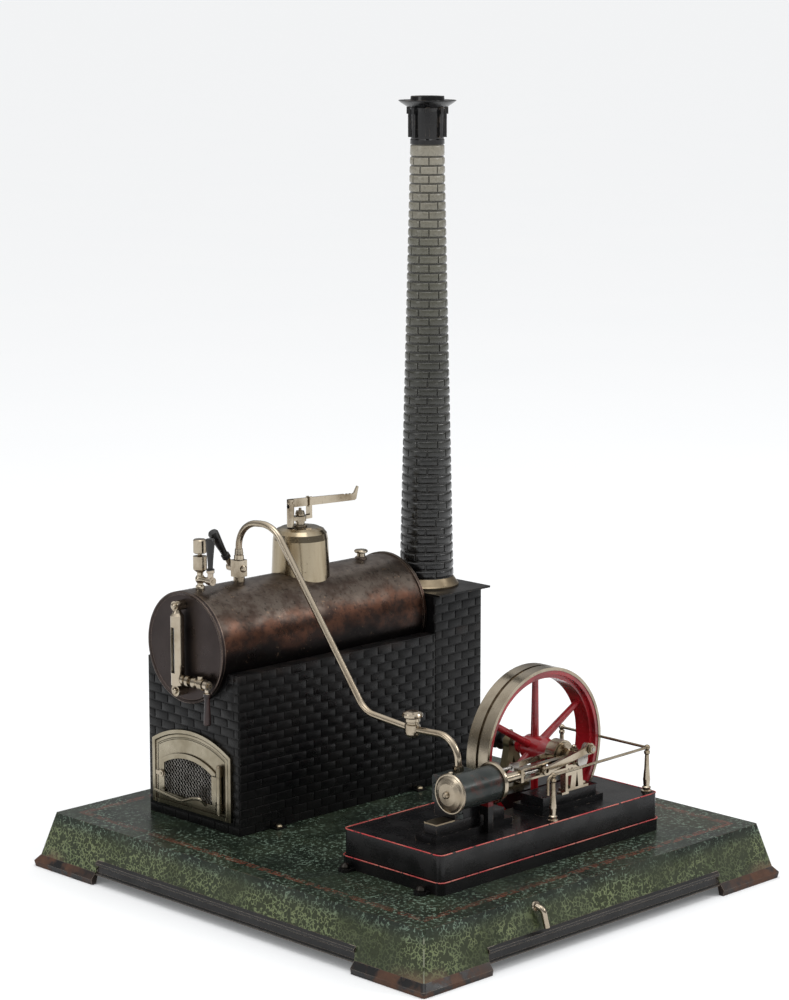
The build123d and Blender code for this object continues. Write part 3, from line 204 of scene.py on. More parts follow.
# ---- material helper ------------------------------------------------------------------------------
class Finish:
    """A node material on object coordinates, so a pattern stays on its part when that moves."""

    def __init__(self, name, roughness=0.4, metallic=0.0, coat=0.0, colour=(0.5, 0.5, 0.5), gloss=0.5):
        self.material = bpy.data.materials.new(name)
        self.material.use_nodes = True
        self.tree = self.material.node_tree
        self.shader = self.tree.nodes["Principled BSDF"]
        self.shader.inputs["Roughness"].default_value = roughness
        self.shader.inputs["Metallic"].default_value = metallic
        self.shader.inputs["Coat Weight"].default_value = coat
        self.shader.inputs["Specular IOR Level"].default_value = gloss
        self.shader.inputs["Base Color"].default_value = (*colour, 1)
        self.place = self.add("TexCoord").outputs["Object"]

    def add(self, kind, inputs=None, **settings):
        node = self.tree.nodes.new("ShaderNode" + kind)
        for key, value in settings.items():
            setattr(node, key, value)
        for key, value in (inputs or {}).items():
            self.put(node.inputs[key], value)
        return node

    def put(self, socket, value):
        if isinstance(value, bpy.types.NodeSocket):
            self.tree.links.new(value, socket)
        else:
            socket.default_value = value

    def set(self, **sockets):
        for key, value in sockets.items():
            self.put(self.shader.inputs[key.replace("_", " ")], value)

    def noise(self, scale, detail=3.0, roughness=0.5, distortion=0.0, place=None):
        settings = {"Vector": place or self.place, "Scale": scale, "Detail": detail,
                    "Roughness": roughness, "Distortion": distortion}
        return self.add("TexNoise", settings).outputs["Fac"]

    def stretched(self, x, y, z):
        """Object coordinates with each axis scaled."""
        return self.maths3("MULTIPLY", self.place, (x, y, z))

    def maths3(self, operation, a, b):
        return self.add("VectorMath", {0: a, 1: b}, operation=operation).outputs["Vector"]

    def maths(self, operation, a, b=0.0, c=0.0):
        return self.add("Math", {0: a, 1: b, 2: c}, operation=operation).outputs[0]

    def axes(self):
        parts = self.add("SeparateXYZ", {0: self.place})
        return parts.outputs["X"], parts.outputs["Y"], parts.outputs["Z"]

    def spread(self, value, low, high, to_low=0.0, to_high=1.0):
        """value clamped and stretched from low..high to to_low..to_high."""
        settings = {"Value": value, "From Min": low, "From Max": high, "To Min": to_low, "To Max": to_high}
        return self.add("MapRange", settings, interpolation_type="SMOOTHSTEP").outputs["Result"]

    def mix(self, factor, a, b):
        node = self.add("Mix", data_type="RGBA")
        self.put(node.inputs[0], factor)
        self.put(node.inputs[6], a if isinstance(a, bpy.types.NodeSocket) else (*a, 1))
        self.put(node.inputs[7], b if isinstance(b, bpy.types.NodeSocket) else (*b, 1))
        return node.outputs[2]

    def blend(self, factor, a, b):
        """Number a where factor is 0 and b where it is 1."""
        node = self.add("Mix", data_type="FLOAT")
        self.put(node.inputs[0], factor)
        self.put(node.inputs[2], a)
        self.put(node.inputs[3], b)
        return node.outputs[0]

    def edges(self, radius, low=0.02, high=0.2):
        """1 on sharp edges, 0 on flat ground."""
        rounded = self.add("Bevel", {"Radius": radius}, samples=4).outputs["Normal"]
        flat = self.add("NewGeometry").outputs["Normal"]
        facing = self.add("VectorMath", {0: rounded, 1: flat}, operation="DOT_PRODUCT").outputs["Value"]
        return self.spread(self.maths("SUBTRACT", 1.0, facing), low, high)

    def worn(self, mask, noise, low=0.42, high=0.62):
        """A mask broken up by a noise."""
        return self.maths("MULTIPLY", mask, self.spread(noise, low, high))

    def bump(self, height, depth, strength=1.0):
        node = self.add("Bump", {"Height": height, "Distance": depth, "Strength": strength})
        self.put(self.shader.inputs["Normal"], node.outputs["Normal"])


# ---- materials ------------------------------------------------------------------------------------
def marbled_enamel():
    """Dark green enamel with pale worm-like marbling, a worn red lining and rusty corners."""
    f = Finish("marbled_enamel", coat=0.12, gloss=0.3)
    x, y, z = f.axes()
    ground = f.mix(f.spread(f.noise(30, 3), 0.35, 0.65), (0.009, 0.014, 0.009), (0.020, 0.028, 0.016))
    ground = f.mix(f.spread(f.noise(9, 2), 0.5, 0.75), ground, (0.026, 0.026, 0.013))
    side = f.spread(z, DECK_Z - 1 * MM, DECK_Z - 12 * MM)
    ground = f.mix(side, ground, f.mix(f.noise(35, 3), (0.022, 0.031, 0.015), (0.042, 0.049, 0.022)))
    warp = f.add("TexNoise", {"Vector": f.place, "Scale": 320.0, "Detail": 1.0}).outputs["Color"]
    warped = f.maths3("ADD", f.place, f.maths3("MULTIPLY", warp, (WORM_WARP, WORM_WARP, WORM_WARP)))
    cells = f.add("TexVoronoi", {"Vector": warped, "Scale": 340.0}, feature="DISTANCE_TO_EDGE")
    web = f.spread(cells.outputs["Distance"], 0.13, 0.06)
    broken = f.blend(side, f.spread(f.noise(330, 2), 0.52, 0.58), f.spread(f.noise(230, 2), 0.42, 0.48))
    thick = f.spread(f.noise(24, 3), 0.36, 0.58, 0.25, 1.0)
    marks = f.maths("MULTIPLY", f.maths("MULTIPLY", web, broken), thick)
    pale = f.mix(side, (0.16, 0.225, 0.17), f.mix(f.noise(60, 2), (0.15, 0.20, 0.10), (0.21, 0.235, 0.11)))
    colour = f.mix(f.maths("MULTIPLY", marks, 0.85), ground, pale)
    reach_x, reach_y = DECK_HALF
    from_edge = f.maths("MINIMUM", f.maths("SUBTRACT", reach_x, f.maths("ABSOLUTE", x)),
                        f.maths("SUBTRACT", reach_y, f.maths("ABSOLUTE", y)))
    lines = None
    for place, half in LINING:
        off = f.maths("ABSOLUTE", f.maths("SUBTRACT", from_edge, place))
        line = f.spread(off, half * 1.4, half * 0.7)
        lines = line if lines is None else f.maths("MAXIMUM", lines, line)
    lines = f.worn(lines, f.noise(220, 3), 0.40, 0.50)
    lines = f.maths("MULTIPLY", lines, f.spread(f.noise(14, 2), 0.3, 0.55, 0.4, 0.95))
    lining_red = f.mix(f.noise(90), (0.12, 0.030, 0.020), (0.20, 0.062, 0.035))
    colour = f.mix(lines, colour, lining_red)
    low = f.spread(z, DECK_Z - 22 * MM, DECK_Z - 34 * MM)
    corner = f.spread(f.maths("ADD", f.maths("ABSOLUTE", x), f.maths("ABSOLUTE", y)),
                      reach_x + reach_y - 22 * MM, reach_x + reach_y + 10 * MM)
    rust = f.maths("MULTIPLY", f.maths("MULTIPLY", low, corner), f.spread(f.noise(55, 4), 0.38, 0.55))
    worn = f.worn(f.edges(0.9 * MM), f.noise(120, 3), 0.44, 0.6)
    rust = f.maths("MAXIMUM", rust, f.maths("MULTIPLY", worn, 0.6))
    colour = f.mix(rust, colour, f.mix(f.noise(200), (0.09, 0.035, 0.018), (0.17, 0.13, 0.08)))
    over_x, over_y = (f.maths("SUBTRACT", f.maths("ABSOLUTE", a), b) for a, b in ((x, reach_x), (y, reach_y)))
    arris = f.spread(f.maths("ABSOLUTE", f.maths("SUBTRACT", over_x, over_y)), 0.9 * MM, 0.4 * MM)
    arris = f.maths("MULTIPLY", arris, f.spread(f.maths("MINIMUM", over_x, over_y), 0.2 * MM, 0.8 * MM))
    arris = f.worn(arris, f.noise(180, 3), 0.34, 0.5)
    colour = f.mix(f.maths("MULTIPLY", arris, 0.8), colour, (0.26, 0.27, 0.20))
    f.set(Base_Color=colour)
    f.set(Roughness=f.blend(rust, f.spread(f.noise(45), 0.3, 0.7, 0.24, 0.4), 0.7))
    f.bump(f.maths("ADD", f.maths("MULTIPLY", marks, 0.4), f.noise(900, 2)), 0.00006)
    return f.material


def japanned(name, wear=(0.115, 0.075, 0.05), roughness=0.3, wear_low=0.5, rust_corners=False, gloss=0.2,
             red_above=None):
    """Black stoving enamel on tin, rubbed through to brown metal at its edges."""
    f = Finish(name, coat=0.04, gloss=gloss)
    ground = f.mix(f.spread(f.noise(35, 4), 0.4, 0.7), (0.0035, 0.0035, 0.004), (0.0085, 0.0075, 0.0075))
    specks = f.spread(f.noise(700, 2), 0.68, 0.74)
    colour = f.mix(f.maths("MULTIPLY", specks, 0.2), ground, (0.07, 0.065, 0.06))
    worn = f.worn(f.edges(0.7 * MM), f.noise(150, 4), wear_low, wear_low + 0.14)
    metal = f.mix(f.noise(240), wear, (0.24, 0.2, 0.16))
    colour = f.mix(worn, colour, metal)
    rough = f.blend(worn, f.spread(f.noise(60, 3), 0.3, 0.75, roughness - 0.08, roughness + 0.12), 0.5)
    if rust_corners:
        x, y, _ = f.axes()
        total = f.maths("ADD", f.maths("ABSOLUTE", x), f.maths("ABSOLUTE", y))
        near = f.spread(total, sum(DECK_HALF) - 60 * MM, sum(DECK_HALF) - 5 * MM)
        rust = f.maths("MULTIPLY", near, f.spread(f.noise(80, 4), 0.40, 0.56))
        colour = f.mix(f.maths("MULTIPLY", rust, 0.85), colour,
                       f.mix(f.noise(150, 3), (0.045, 0.024, 0.017), (0.15, 0.068, 0.036)))
        rough = f.blend(rust, rough, 0.75)
    if red_above:
        x, _, z = f.axes()
        corner = f.maths("MINIMUM", f.maths("SUBTRACT", x, red_above[0]),
                         f.maths("SUBTRACT", z, red_above[1]))
        colour = f.mix(f.spread(corner, 0, 0.2 * MM), colour, (0.16, 0.008, 0.010))
    f.set(Base_Color=colour, Roughness=rough)
    f.bump(f.noise(500, 3), 0.00005)
    return f.material


def screw_brass():
    """Brass screws by the boiler house, and blackened ones on the engine bed."""
    f = Finish("screw_brass", metallic=1.0)
    y = f.axes()[1]
    plate = f.mix(f.spread(f.noise(120, 3), 0.4, 0.65), (0.38, 0.32, 0.22), (0.16, 0.12, 0.07))
    black = f.mix(f.noise(90, 3), (0.020, 0.019, 0.018), (0.065, 0.058, 0.050))
    at_bed = f.spread(y, bed_hi.y + SCREW_SPLIT, bed_hi.y + SCREW_SPLIT - 1 * MM)
    f.set(Base_Color=f.mix(at_bed, plate, black), Roughness=f.spread(f.noise(160, 3), 0.3, 0.7, 0.24, 0.42))
    f.bump(f.noise(500, 3), 0.00004)
    return f.material


def brick_enamel():
    """Black enamel over pressed bricks, browned where the top edges are handled."""
    f = Finish("brick_enamel", gloss=0.2)
    ground = f.mix(f.spread(f.noise(25, 3), 0.35, 0.7), (0.0030, 0.0030, 0.0034), (0.0075, 0.0072, 0.0070))
    worn = f.worn(f.edges(0.6 * MM), f.noise(60, 4), 0.44, 0.66)
    colour = f.mix(f.maths("MULTIPLY", worn, 0.42), ground, (0.10, 0.095, 0.09))
    z = f.axes()[2]
    top = f.spread(z, house_hi.z - 6 * MM, house_hi.z - 1 * MM)
    below = f.spread(z, house_hi.z + 2 * MM, house_hi.z + 1 * MM)
    rubbed = f.maths("MULTIPLY", f.maths("MULTIPLY", top, below),
                     f.spread(f.noise(45, 3), 0.42, 0.7, 0.0, 0.4))
    colour = f.mix(rubbed, colour, (0.045, 0.032, 0.027))
    f.set(Base_Color=colour, Roughness=f.spread(f.noise(140, 3), 0.3, 0.7, 0.26, 0.42))
    f.bump(f.noise(650, 4), 0.00012)
    return f.material


def stack_enamel():
    """Sprayed from pale stone at the top to charcoal at the foot, dark in the joints, with wear and painted
    highlights along the bricks' edges.
    """
    f = Finish("stack_enamel", coat=0.15, gloss=0.5)
    x, y, z = f.axes()
    run = f.maths("DIVIDE", f.maths("SUBTRACT", z, stack_lo.z), stack_hi.z - stack_lo.z)
    height = f.maths("ADD", run, f.spread(f.noise(40, 3), 0.3, 0.7, -0.03, 0.03))
    ramp = f.add("ValToRGB", {"Fac": height})
    stops = [(0.0, (0.006, 0.006, 0.0065)), (0.28, (0.013, 0.0135, 0.012)), (0.5, (0.040, 0.040, 0.031)),
             (0.75, (0.120, 0.116, 0.088)), (0.97, (0.28, 0.258, 0.205))]
    ramp.color_ramp.elements[0].position = stops[0][0]
    ramp.color_ramp.elements[1].position = stops[-1][0]
    for place, colour in stops[1:-1]:
        ramp.color_ramp.elements.new(place)
    for element, (place, colour) in zip(ramp.color_ramp.elements, stops):
        element.color = (*colour, 1)
    colour = ramp.outputs["Color"]
    dx, dy = f.maths("SUBTRACT", x, STACK_X), f.maths("SUBTRACT", y, STACK_Y)
    radius = f.maths("SQRT", f.maths("ADD", f.maths("MULTIPLY", dx, dx), f.maths("MULTIPLY", dy, dy)))
    foot_r, top_r = STACK_RADII
    skin = f.maths("ADD", foot_r, f.maths("MULTIPLY", run, top_r - foot_r))
    proud = f.maths("SUBTRACT", radius, skin)
    joint = f.spread(proud, 0.4 * STACK_RISE, -0.05 * STACK_RISE)
    colour = f.mix(f.maths("MULTIPLY", joint, 0.78), colour, (0.010, 0.009, 0.008))
    # Lighter brick edges: wear, and painted highlights where the edges catch the light.
    worn = f.worn(f.edges(0.5 * MM), f.noise(160, 4), 0.34, 0.56)
    light = f.mix(run, (0.12, 0.12, 0.11), (0.42, 0.40, 0.34))
    colour = f.mix(f.maths("MULTIPLY", worn, 0.85), colour, light)
    scuffs = f.spread(f.noise(110, 5, 0.7), 0.64, 0.72)
    colour = f.mix(f.maths("MULTIPLY", scuffs, 0.5), colour, light)
    colour = f.mix(f.spread(f.noise(420, 3), 0.5, 0.75, 0.0, 0.3), colour, (0.03, 0.026, 0.02))
    f.set(Base_Color=colour, Roughness=f.spread(f.noise(200, 3), 0.3, 0.7, 0.2, 0.36))
    f.bump(f.noise(420, 3), 0.00018)
    return f.material


def old_nickel(name="old_nickel", light=(0.43, 0.37, 0.285), dark=(0.22, 0.17, 0.11), roughness=0.22,
               patch=0.5, cloud_scale=45, streak=1.0):
    """Nickel plate gone warm and cloudy with age, brown with grime and painted shade in its recesses."""
    f = Finish(name, metallic=1.0)
    cloud = f.noise(cloud_scale, 4, 0.55, place=f.stretched(1, 1, streak))
    colour = f.mix(f.spread(cloud, patch - 0.10, patch + 0.26), light, dark)
    # Brown in the recesses: grime, and painted shade where the surroundings hide the light.
    hollow_shade = f.add("AmbientOcclusion", {"Distance": 2.5 * MM}, samples=6).outputs["AO"]
    dirt_and_shade = f.maths("MULTIPLY", f.spread(hollow_shade, 0.8, 0.3), f.spread(f.noise(160, 3), 0.3, 0.6, 0.5, 1.0))
    colour = f.mix(f.maths("MULTIPLY", dirt_and_shade, 0.85), colour, (0.065, 0.042, 0.024))
    spots = f.spread(f.noise(520, 3), 0.66, 0.74)
    colour = f.mix(f.maths("MULTIPLY", spots, 0.4), colour, (0.12, 0.085, 0.05))
    f.set(Base_Color=colour)
    f.set(Roughness=f.maths("ADD", f.spread(cloud, 0.35, 0.75, roughness - 0.05, roughness + 0.10),
                            f.maths("MULTIPLY", spots, 0.2)))
    f.bump(f.maths("ADD", f.noise(260, 2), f.noise(1800, 1)), 0.00002)
    return f.material


def boiler_bronze():
    """Boiler metal browned by heat: grey-brown on top and coppery at the sides; the black lower part is a painted
    dark reflection.
    """
    f = Finish("boiler_bronze", metallic=0.9)
    x, _, z = f.axes()
    wave = f.spread(f.noise(24, 4, 0.6, place=f.stretched(0.6, 1, 1)), 0.3, 0.7, -0.16, 0.16)
    level = f.maths("ADD", wave, f.maths("DIVIDE", f.maths("SUBTRACT", z, BOILER[1]), BOILER[2]))
    # Near-black lower part: painted reflection of dark surroundings, standing in for what the metal mirrors.
    low = f.mix(f.noise(90, 4), (0.0050, 0.0042, 0.0044), (0.013, 0.0095, 0.0085))
    band = f.mix(f.spread(f.noise(70, 5, 0.7), 0.38, 0.62), (0.105, 0.047, 0.029), (0.034, 0.021, 0.017))
    crown = f.mix(f.spread(f.noise(95, 5, 0.7), 0.38, 0.66), (0.125, 0.101, 0.083), (0.066, 0.046, 0.036))
    colour = f.mix(f.spread(level, -0.12, 0.34), low, band)
    colour = f.mix(f.spread(level, 0.36, 0.78), colour, crown)
    flecks = f.maths("MULTIPLY", f.spread(f.noise(260, 4, 0.7), 0.60, 0.68),
                     f.spread(f.noise(45, 3), 0.5, 0.62))
    colour = f.mix(f.maths("MULTIPLY", flecks, 0.7), colour, (0.26, 0.17, 0.11))
    spots = f.spread(f.noise(330, 4), 0.58, 0.68, 0, 0.6)
    colour = f.mix(spots, colour, (0.022, 0.018, 0.015))
    end = f.spread(x, boiler_lo.x + 3.2 * MM, boiler_lo.x + 2.4 * MM)
    colour = f.mix(end, colour, f.mix(f.noise(40, 4), (0.028, 0.021, 0.020), (0.054, 0.042, 0.039)))
    worn = f.worn(f.edges(1.0 * MM), f.noise(60, 3), 0.1, 0.4)
    colour = f.mix(f.maths("MULTIPLY", worn, 0.85), colour, (0.34, 0.26, 0.21))
    f.set(Base_Color=colour)
    f.set(Roughness=f.spread(f.noise(60, 4), 0.3, 0.7, 0.26, 0.44))
    f.bump(f.noise(240, 4), 0.00006)
    return f.material


def red_enamel():
    """Red wheel enamel, darker in patches and rubbed at its edges."""
    f = Finish("red_enamel", coat=0.3)
    colour = f.mix(f.spread(f.noise(60, 3), 0.35, 0.7), (0.36, 0.010, 0.016), (0.20, 0.006, 0.010))
    worn = f.worn(f.edges(0.4 * MM), f.noise(260, 3), 0.62, 0.72)
    colour = f.mix(f.maths("MULTIPLY", worn, 0.8), colour, (0.05, 0.03, 0.025))
    f.set(Base_Color=colour, Roughness=f.spread(f.noise(90), 0.3, 0.7, 0.18, 0.34))
    f.bump(f.noise(400, 2), 0.00005)
    return f.material


def lining_paint():
    """Hand-drawn orange-red line, thin in places."""
    f = Finish("lining_paint", coat=0.2)
    colour = f.mix(f.spread(f.noise(50, 2), 0.35, 0.65), (0.50, 0.040, 0.045), (0.60, 0.17, 0.13))
    gaps = f.spread(f.noise(330, 3), 0.58, 0.66)
    f.set(Base_Color=f.mix(gaps, colour, (0.02, 0.014, 0.013)))
    f.set(Roughness=f.spread(f.noise(120), 0.3, 0.7, 0.3, 0.5))
    f.bump(f.noise(900, 2), 0.00004)
    return f.material


def dark_steel():
    """Dark grey-green lacquer with reddish blotches where it has worn."""
    f = Finish("dark_steel", metallic=0.35, coat=0.1, gloss=0.3)
    colour = f.mix(f.spread(f.noise(45, 4), 0.35, 0.7), (0.016, 0.021, 0.020), (0.040, 0.046, 0.042))
    colour = f.mix(f.spread(f.noise(80, 4, 0.6), 0.54, 0.70, 0, 0.7), colour, (0.085, 0.030, 0.022))
    worn = f.worn(f.edges(0.5 * MM), f.noise(200, 3), 0.4, 0.55)
    colour = f.mix(f.maths("MULTIPLY", worn, 0.6), colour, (0.2, 0.19, 0.17))
    f.set(Base_Color=colour, Roughness=f.spread(f.noise(130, 3), 0.3, 0.7, 0.24, 0.42))
    f.bump(f.noise(500, 3), 0.00005)
    return f.material


def handle_finish(name, joint, reach, light, dark):
    """A cock handle: nickel within reach of its spindle, turned wood beyond it."""
    f = Finish(name)
    pivot = next(j["pos_m"] for j in frame["joints"] if j["name"] == joint)
    gap = f.maths3("SUBTRACT", f.place, tuple(pivot))
    gap = f.maths3("MULTIPLY", gap, (1, 0, 1))
    away = f.add("VectorMath", {0: gap}, operation="LENGTH").outputs["Value"]
    wood = f.spread(away, reach, reach + 0.15 * MM)
    grain = f.noise(300, 3, place=f.stretched(1, 1, 0.12))
    timber = f.mix(f.spread(grain, 0.35, 0.65), dark, light)
    plate = f.mix(f.spread(f.noise(70, 4), 0.4, 0.7), (0.50, 0.43, 0.34), (0.24, 0.18, 0.12))
    f.set(Base_Color=f.mix(wood, plate, timber))
    f.set(Metallic=f.maths("SUBTRACT", 1.0, wood))
    f.set(Roughness=f.blend(wood, 0.28, f.spread(grain, 0.3, 0.7, 0.26, 0.42)))
    f.bump(grain, 0.00008)
    return f.material


def arch_of(node):
    """Centre height and radius, seen along X, of the arch on top of a CAD plate."""
    low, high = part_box(node)
    shoulder = max(v.co.z for v in nodes[node].data.vertices if v.co.y < low.y + 0.1 * MM)
    rise, half = high.z - shoulder, (high.y - low.y) / 2
    radius = (rise * rise + half * half) / (2 * rise)
    return high.z - radius, radius


def door_nickel():
    """Pressed and plated door plate: a rolled rim and a sunk field, darker towards its foot, with painted shade in
    its recesses.
    """
    f = Finish("door_nickel", metallic=1.0)
    _, y, z = f.axes()
    centre_z, radius = arch_of("fire_door_frame")
    middle_y = (door_lo.y + door_hi.y) / 2
    from_middle = f.add("CombineXYZ", {0: 0.0, 1: f.maths("SUBTRACT", y, middle_y),
                                       2: f.maths("SUBTRACT", z, centre_z)}).outputs[0]
    out = f.add("VectorMath", {0: from_middle}, operation="LENGTH").outputs["Value"]
    sides = f.maths("MINIMUM", f.maths("SUBTRACT", y, door_lo.y), f.maths("SUBTRACT", door_hi.y, y))
    inwards = f.maths("MINIMUM", f.maths("SUBTRACT", radius, out), sides)
    rim = f.spread(inwards, 3.6 * MM, 2.4 * MM)
    bead = f.spread(f.maths("ABSOLUTE", f.maths("SUBTRACT", inwards, 6.2 * MM)), 1.0 * MM, 0.1 * MM, 0.0, 0.5)
    cloud = f.noise(40, 4, 0.55)
    colour = f.mix(f.spread(cloud, 0.36, 0.68), (0.37, 0.33, 0.25), (0.25, 0.215, 0.15))
    # Darker towards the foot of the plate.
    foot = f.spread(z, door_lo.z + 15 * MM, door_lo.z + 3 * MM)
    colour = f.mix(f.maths("MULTIPLY", foot, 0.85), colour, (0.085, 0.078, 0.050))
    # Painted shade: darker brown in the plate's recesses, where less light reaches them.
    hollow_shade = f.add("AmbientOcclusion", {"Distance": 3.0 * MM}, samples=6).outputs["AO"]
    colour = f.mix(f.spread(hollow_shade, 0.85, 0.4, 0.0, 0.85), colour, (0.060, 0.044, 0.028))
    edge = f.spread(f.maths("ABSOLUTE", f.maths("SUBTRACT", inwards, 3.3 * MM)), 0.7 * MM, 0.1 * MM, 0.0, 0.5)
    colour = f.mix(edge, colour, (0.12, 0.09, 0.055))
    f.set(Base_Color=colour, Roughness=f.spread(cloud, 0.35, 0.75, 0.24, 0.36))
    f.bump(f.maths("ADD", f.maths("ADD", rim, bead), f.maths("MULTIPLY", f.noise(60, 2), 0.5)), 0.0006)
    return f.material


def gauze_metal():
    """Grey wire, dull in patches."""
    f = Finish("gauze_metal", metallic=1.0)
    f.set(Base_Color=f.mix(f.spread(f.noise(90, 3), 0.4, 0.7), (0.42, 0.40, 0.37), (0.16, 0.145, 0.125)))
    f.set(Roughness=f.spread(f.noise(200, 2), 0.3, 0.7, 0.25, 0.4))
    f.bump(f.noise(900, 2), 0.00003)
    return f.material


def clear_glass():
    """Glass tube with a film of grime."""
    f = Finish("gauge_glass", roughness=0.05, colour=(0.93, 0.95, 0.92))
    f.shader.inputs["Transmission Weight"].default_value = 0.75
    f.set(Base_Color=f.mix(f.spread(f.noise(150, 3), 0.45, 0.75), (0.95, 0.96, 0.93), (0.72, 0.70, 0.62)))
    f.bump(f.noise(300, 2), 0.00002)
    return f.material


def half_size_at_deck():
    """Half the length and width of the tray's flat top."""
    outline = level_outline("base_tray", DECK_Z)
    return max(p[0] for p in outline), max(p[1] for p in outline)


DECK_HALF = half_size_at_deck()
STACK_RADII = (ring_radius("chimney_stack", stack_lo.z, (STACK_X, STACK_Y)),
               ring_radius("chimney_stack", stack_hi.z, (STACK_X, STACK_Y)))

WORM_WARP = 2.5 * MM             # how far the marbling's cells are pulled about
LINING = [(12.6 * MM, 0.5 * MM), (14.6 * MM, 0.5 * MM), (17.0 * MM, 0.35 * MM)]   # (from edge, half width)

enamel = marbled_enamel()
tin = japanned("japanned_tin")
bed_tin = japanned("bed_japan", roughness=0.26, wear_low=0.56, gloss=0.3)
cap_tin = japanned("cap_japan", roughness=0.22, wear_low=0.5, gloss=0.5)
stand_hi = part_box("cylinder_stand")[1]
stand_tin = japanned("stand_japan", red_above=(stand_hi.x - 5.5 * MM, stand_hi.z - 4.5 * MM))
foot_tin = japanned("foot_tin", wear=(0.25, 0.21, 0.17), wear_low=0.26, rust_corners=True, gloss=0.3)
bricks = brick_enamel()
stack_paint = stack_enamel()
nickel = old_nickel()
door_plate = door_nickel()
pipe_nickel = old_nickel("pipe_nickel", (0.45, 0.385, 0.295), (0.29, 0.23, 0.16), 0.19, 0.54, 20)
dome_nickel = old_nickel("dome_nickel", (0.36, 0.305, 0.215), (0.19, 0.135, 0.070), 0.16, 0.48, 60, 0.12)
cover_nickel = old_nickel("cover_nickel", (0.42, 0.36, 0.275), (0.26, 0.205, 0.14), 0.27, 0.54, 30)
rim_nickel = old_nickel("rim_nickel", (0.37, 0.32, 0.245), (0.21, 0.17, 0.12), 0.24, 0.5, 40)
bronze = boiler_bronze()
brass = old_nickel("dull_brass", (0.29, 0.235, 0.16), (0.12, 0.09, 0.055), 0.36, 0.5)
red = red_enamel()
lining = lining_paint()
steel_paint = dark_steel()
steel = old_nickel("bright_steel", (0.42, 0.40, 0.37), (0.20, 0.17, 0.14), 0.26, 0.55)
dark_wire = gauze_metal()
screws = screw_brass()
olive = old_nickel("olive_bronze", (0.20, 0.17, 0.10), (0.08, 0.06, 0.035), 0.36, 0.5)
EBONY = ((0.012, 0.011, 0.011), (0.004, 0.004, 0.004))
PALISANDER = ((0.045, 0.020, 0.017), (0.012, 0.008, 0.008))
black_handle = handle_finish("whistle_handle", "whistle_cock_turn", 8.0 * MM, *EBONY)
valve_handle = handle_finish("valve_handle", "stop_valve_turn", 8.0 * MM, *EBONY)
brown_handle = handle_finish("test_handle", "test_cock_turn", 6.0 * MM, *PALISANDER)
glass = clear_glass()

BY_SLOT = {"tray_green": enamel, "black_tin": tin, "brick_black": bricks, "chimney_brick": stack_paint,
           "nickel": nickel, "boiler_bronze": bronze, "brass": brass, "red_paint": red,
           "dark_steel": steel_paint, "wood_black": black_handle, "wood_brown": brown_handle,
           "steel": steel, "glass": glass, "mesh_dark": dark_wire}
BY_NODE = {"base_frame": foot_tin, "engine_bed": bed_tin, "cylinder_stand": stand_tin,
           "stop_valve_handle": valve_handle, "hold_down_screws": screws, "far_bearing": olive,
           "fire_door_frame": door_plate, "fire_door": door_plate, "flywheel_rim": rim_nickel,
           "steam_pipe": pipe_nickel, "steam_dome": dome_nickel, "cylinder_front_cover": cover_nickel,
           "steam_chest": steel_paint, "chimney_cap": cap_tin}


def paint_nodes():
    """Gives every CAD node its own finish."""
    slots = {part["node"]: part["material_slot"] for part in frame["record"]["subparts"]}
    for name, node in nodes.items():
        chosen = BY_NODE.get(name, BY_SLOT[slots[name]])
        node.data.materials.clear()
        node.data.materials.append(chosen)


# ---- brickwork ------------------------------------------------------------------------------------
def brick_outlines(width, height, length, course):
    """Running bond over a rectangle: convex outlines, with a joint round each brick."""
    rows = round(height / course)
    for row in range(rows):
        low, high = height * row / rows, height * (row + 1) / rows
        left = -length / 2 * (row % 2)
        while left < width - LEAST_GAP:
            a, b = max(left, 0.0), min(left + length, width)
            left += length
            if b - a > LEAST_BRICK:
                yield inset([(a, low), (b, low), (b, high), (a, high)], BRICK_JOINT / 2)


def pillow(verts, faces, outline, place):
    """One raised brick: bevelled sides and a flat face. place(u, v, rise) gives a point."""
    rings = []
    for inwards, share in BRICK_PROFILE:
        ring = inset(outline, inwards * MM) if inwards else outline
        if len(ring) != len(outline):
            return
        rings.append([len(verts) + i for i in range(len(ring))])
        verts.extend(place(u, v, share * BRICK_RISE) for u, v in ring)
    for lower, upper in zip(rings, rings[1:]):
        for i in range(len(lower)):
            j = (i + 1) % len(lower)
            faces.append((lower[i], lower[j], upper[j], upper[i]))
    faces.append(tuple(rings[-1]))


def wall_bricks(name, origin, across, outward, width, height, keep=None):
    """Bricks on an upright wall. origin is its lower corner, and keep(outline) trims or drops a brick."""
    verts, faces = [], []
    up = Vector((0, 0, 1))
    for outline in brick_outlines(width, height, BRICK_LENGTH, BRICK_COURSE):
        outline = keep(outline) if keep else outline
        if outline and len(outline) > 2:
            pillow(verts, faces, outline, lambda u, v, rise: origin + across * u + up * v + outward * rise)
    return add_piece(name, verts, faces, bricks)


def front_keep(outline):
    """Trims the front wall's bricks round the boiler and drops those behind the fire door."""
    middle = Vector((sum(p[0] for p in outline), sum(p[1] for p in outline))) / len(outline)
    world_y, world_z = HOUSE_Y1 - middle.x, DECK_Z + middle.y
    across_door = door_lo.y + DOOR_MARGIN < world_y < door_hi.y - DOOR_MARGIN
    if across_door and door_lo.z + DOOR_MARGIN < world_z < door_hi.z - DOOR_CROWN:
        return None
    centre = Vector((HOUSE_Y1 - BOILER[0], BOILER[1] - DECK_Z))
    away = (middle - centre).normalized()
    return clip(outline, centre + away * (BOILER[2] + BOILER_MARGIN), away)


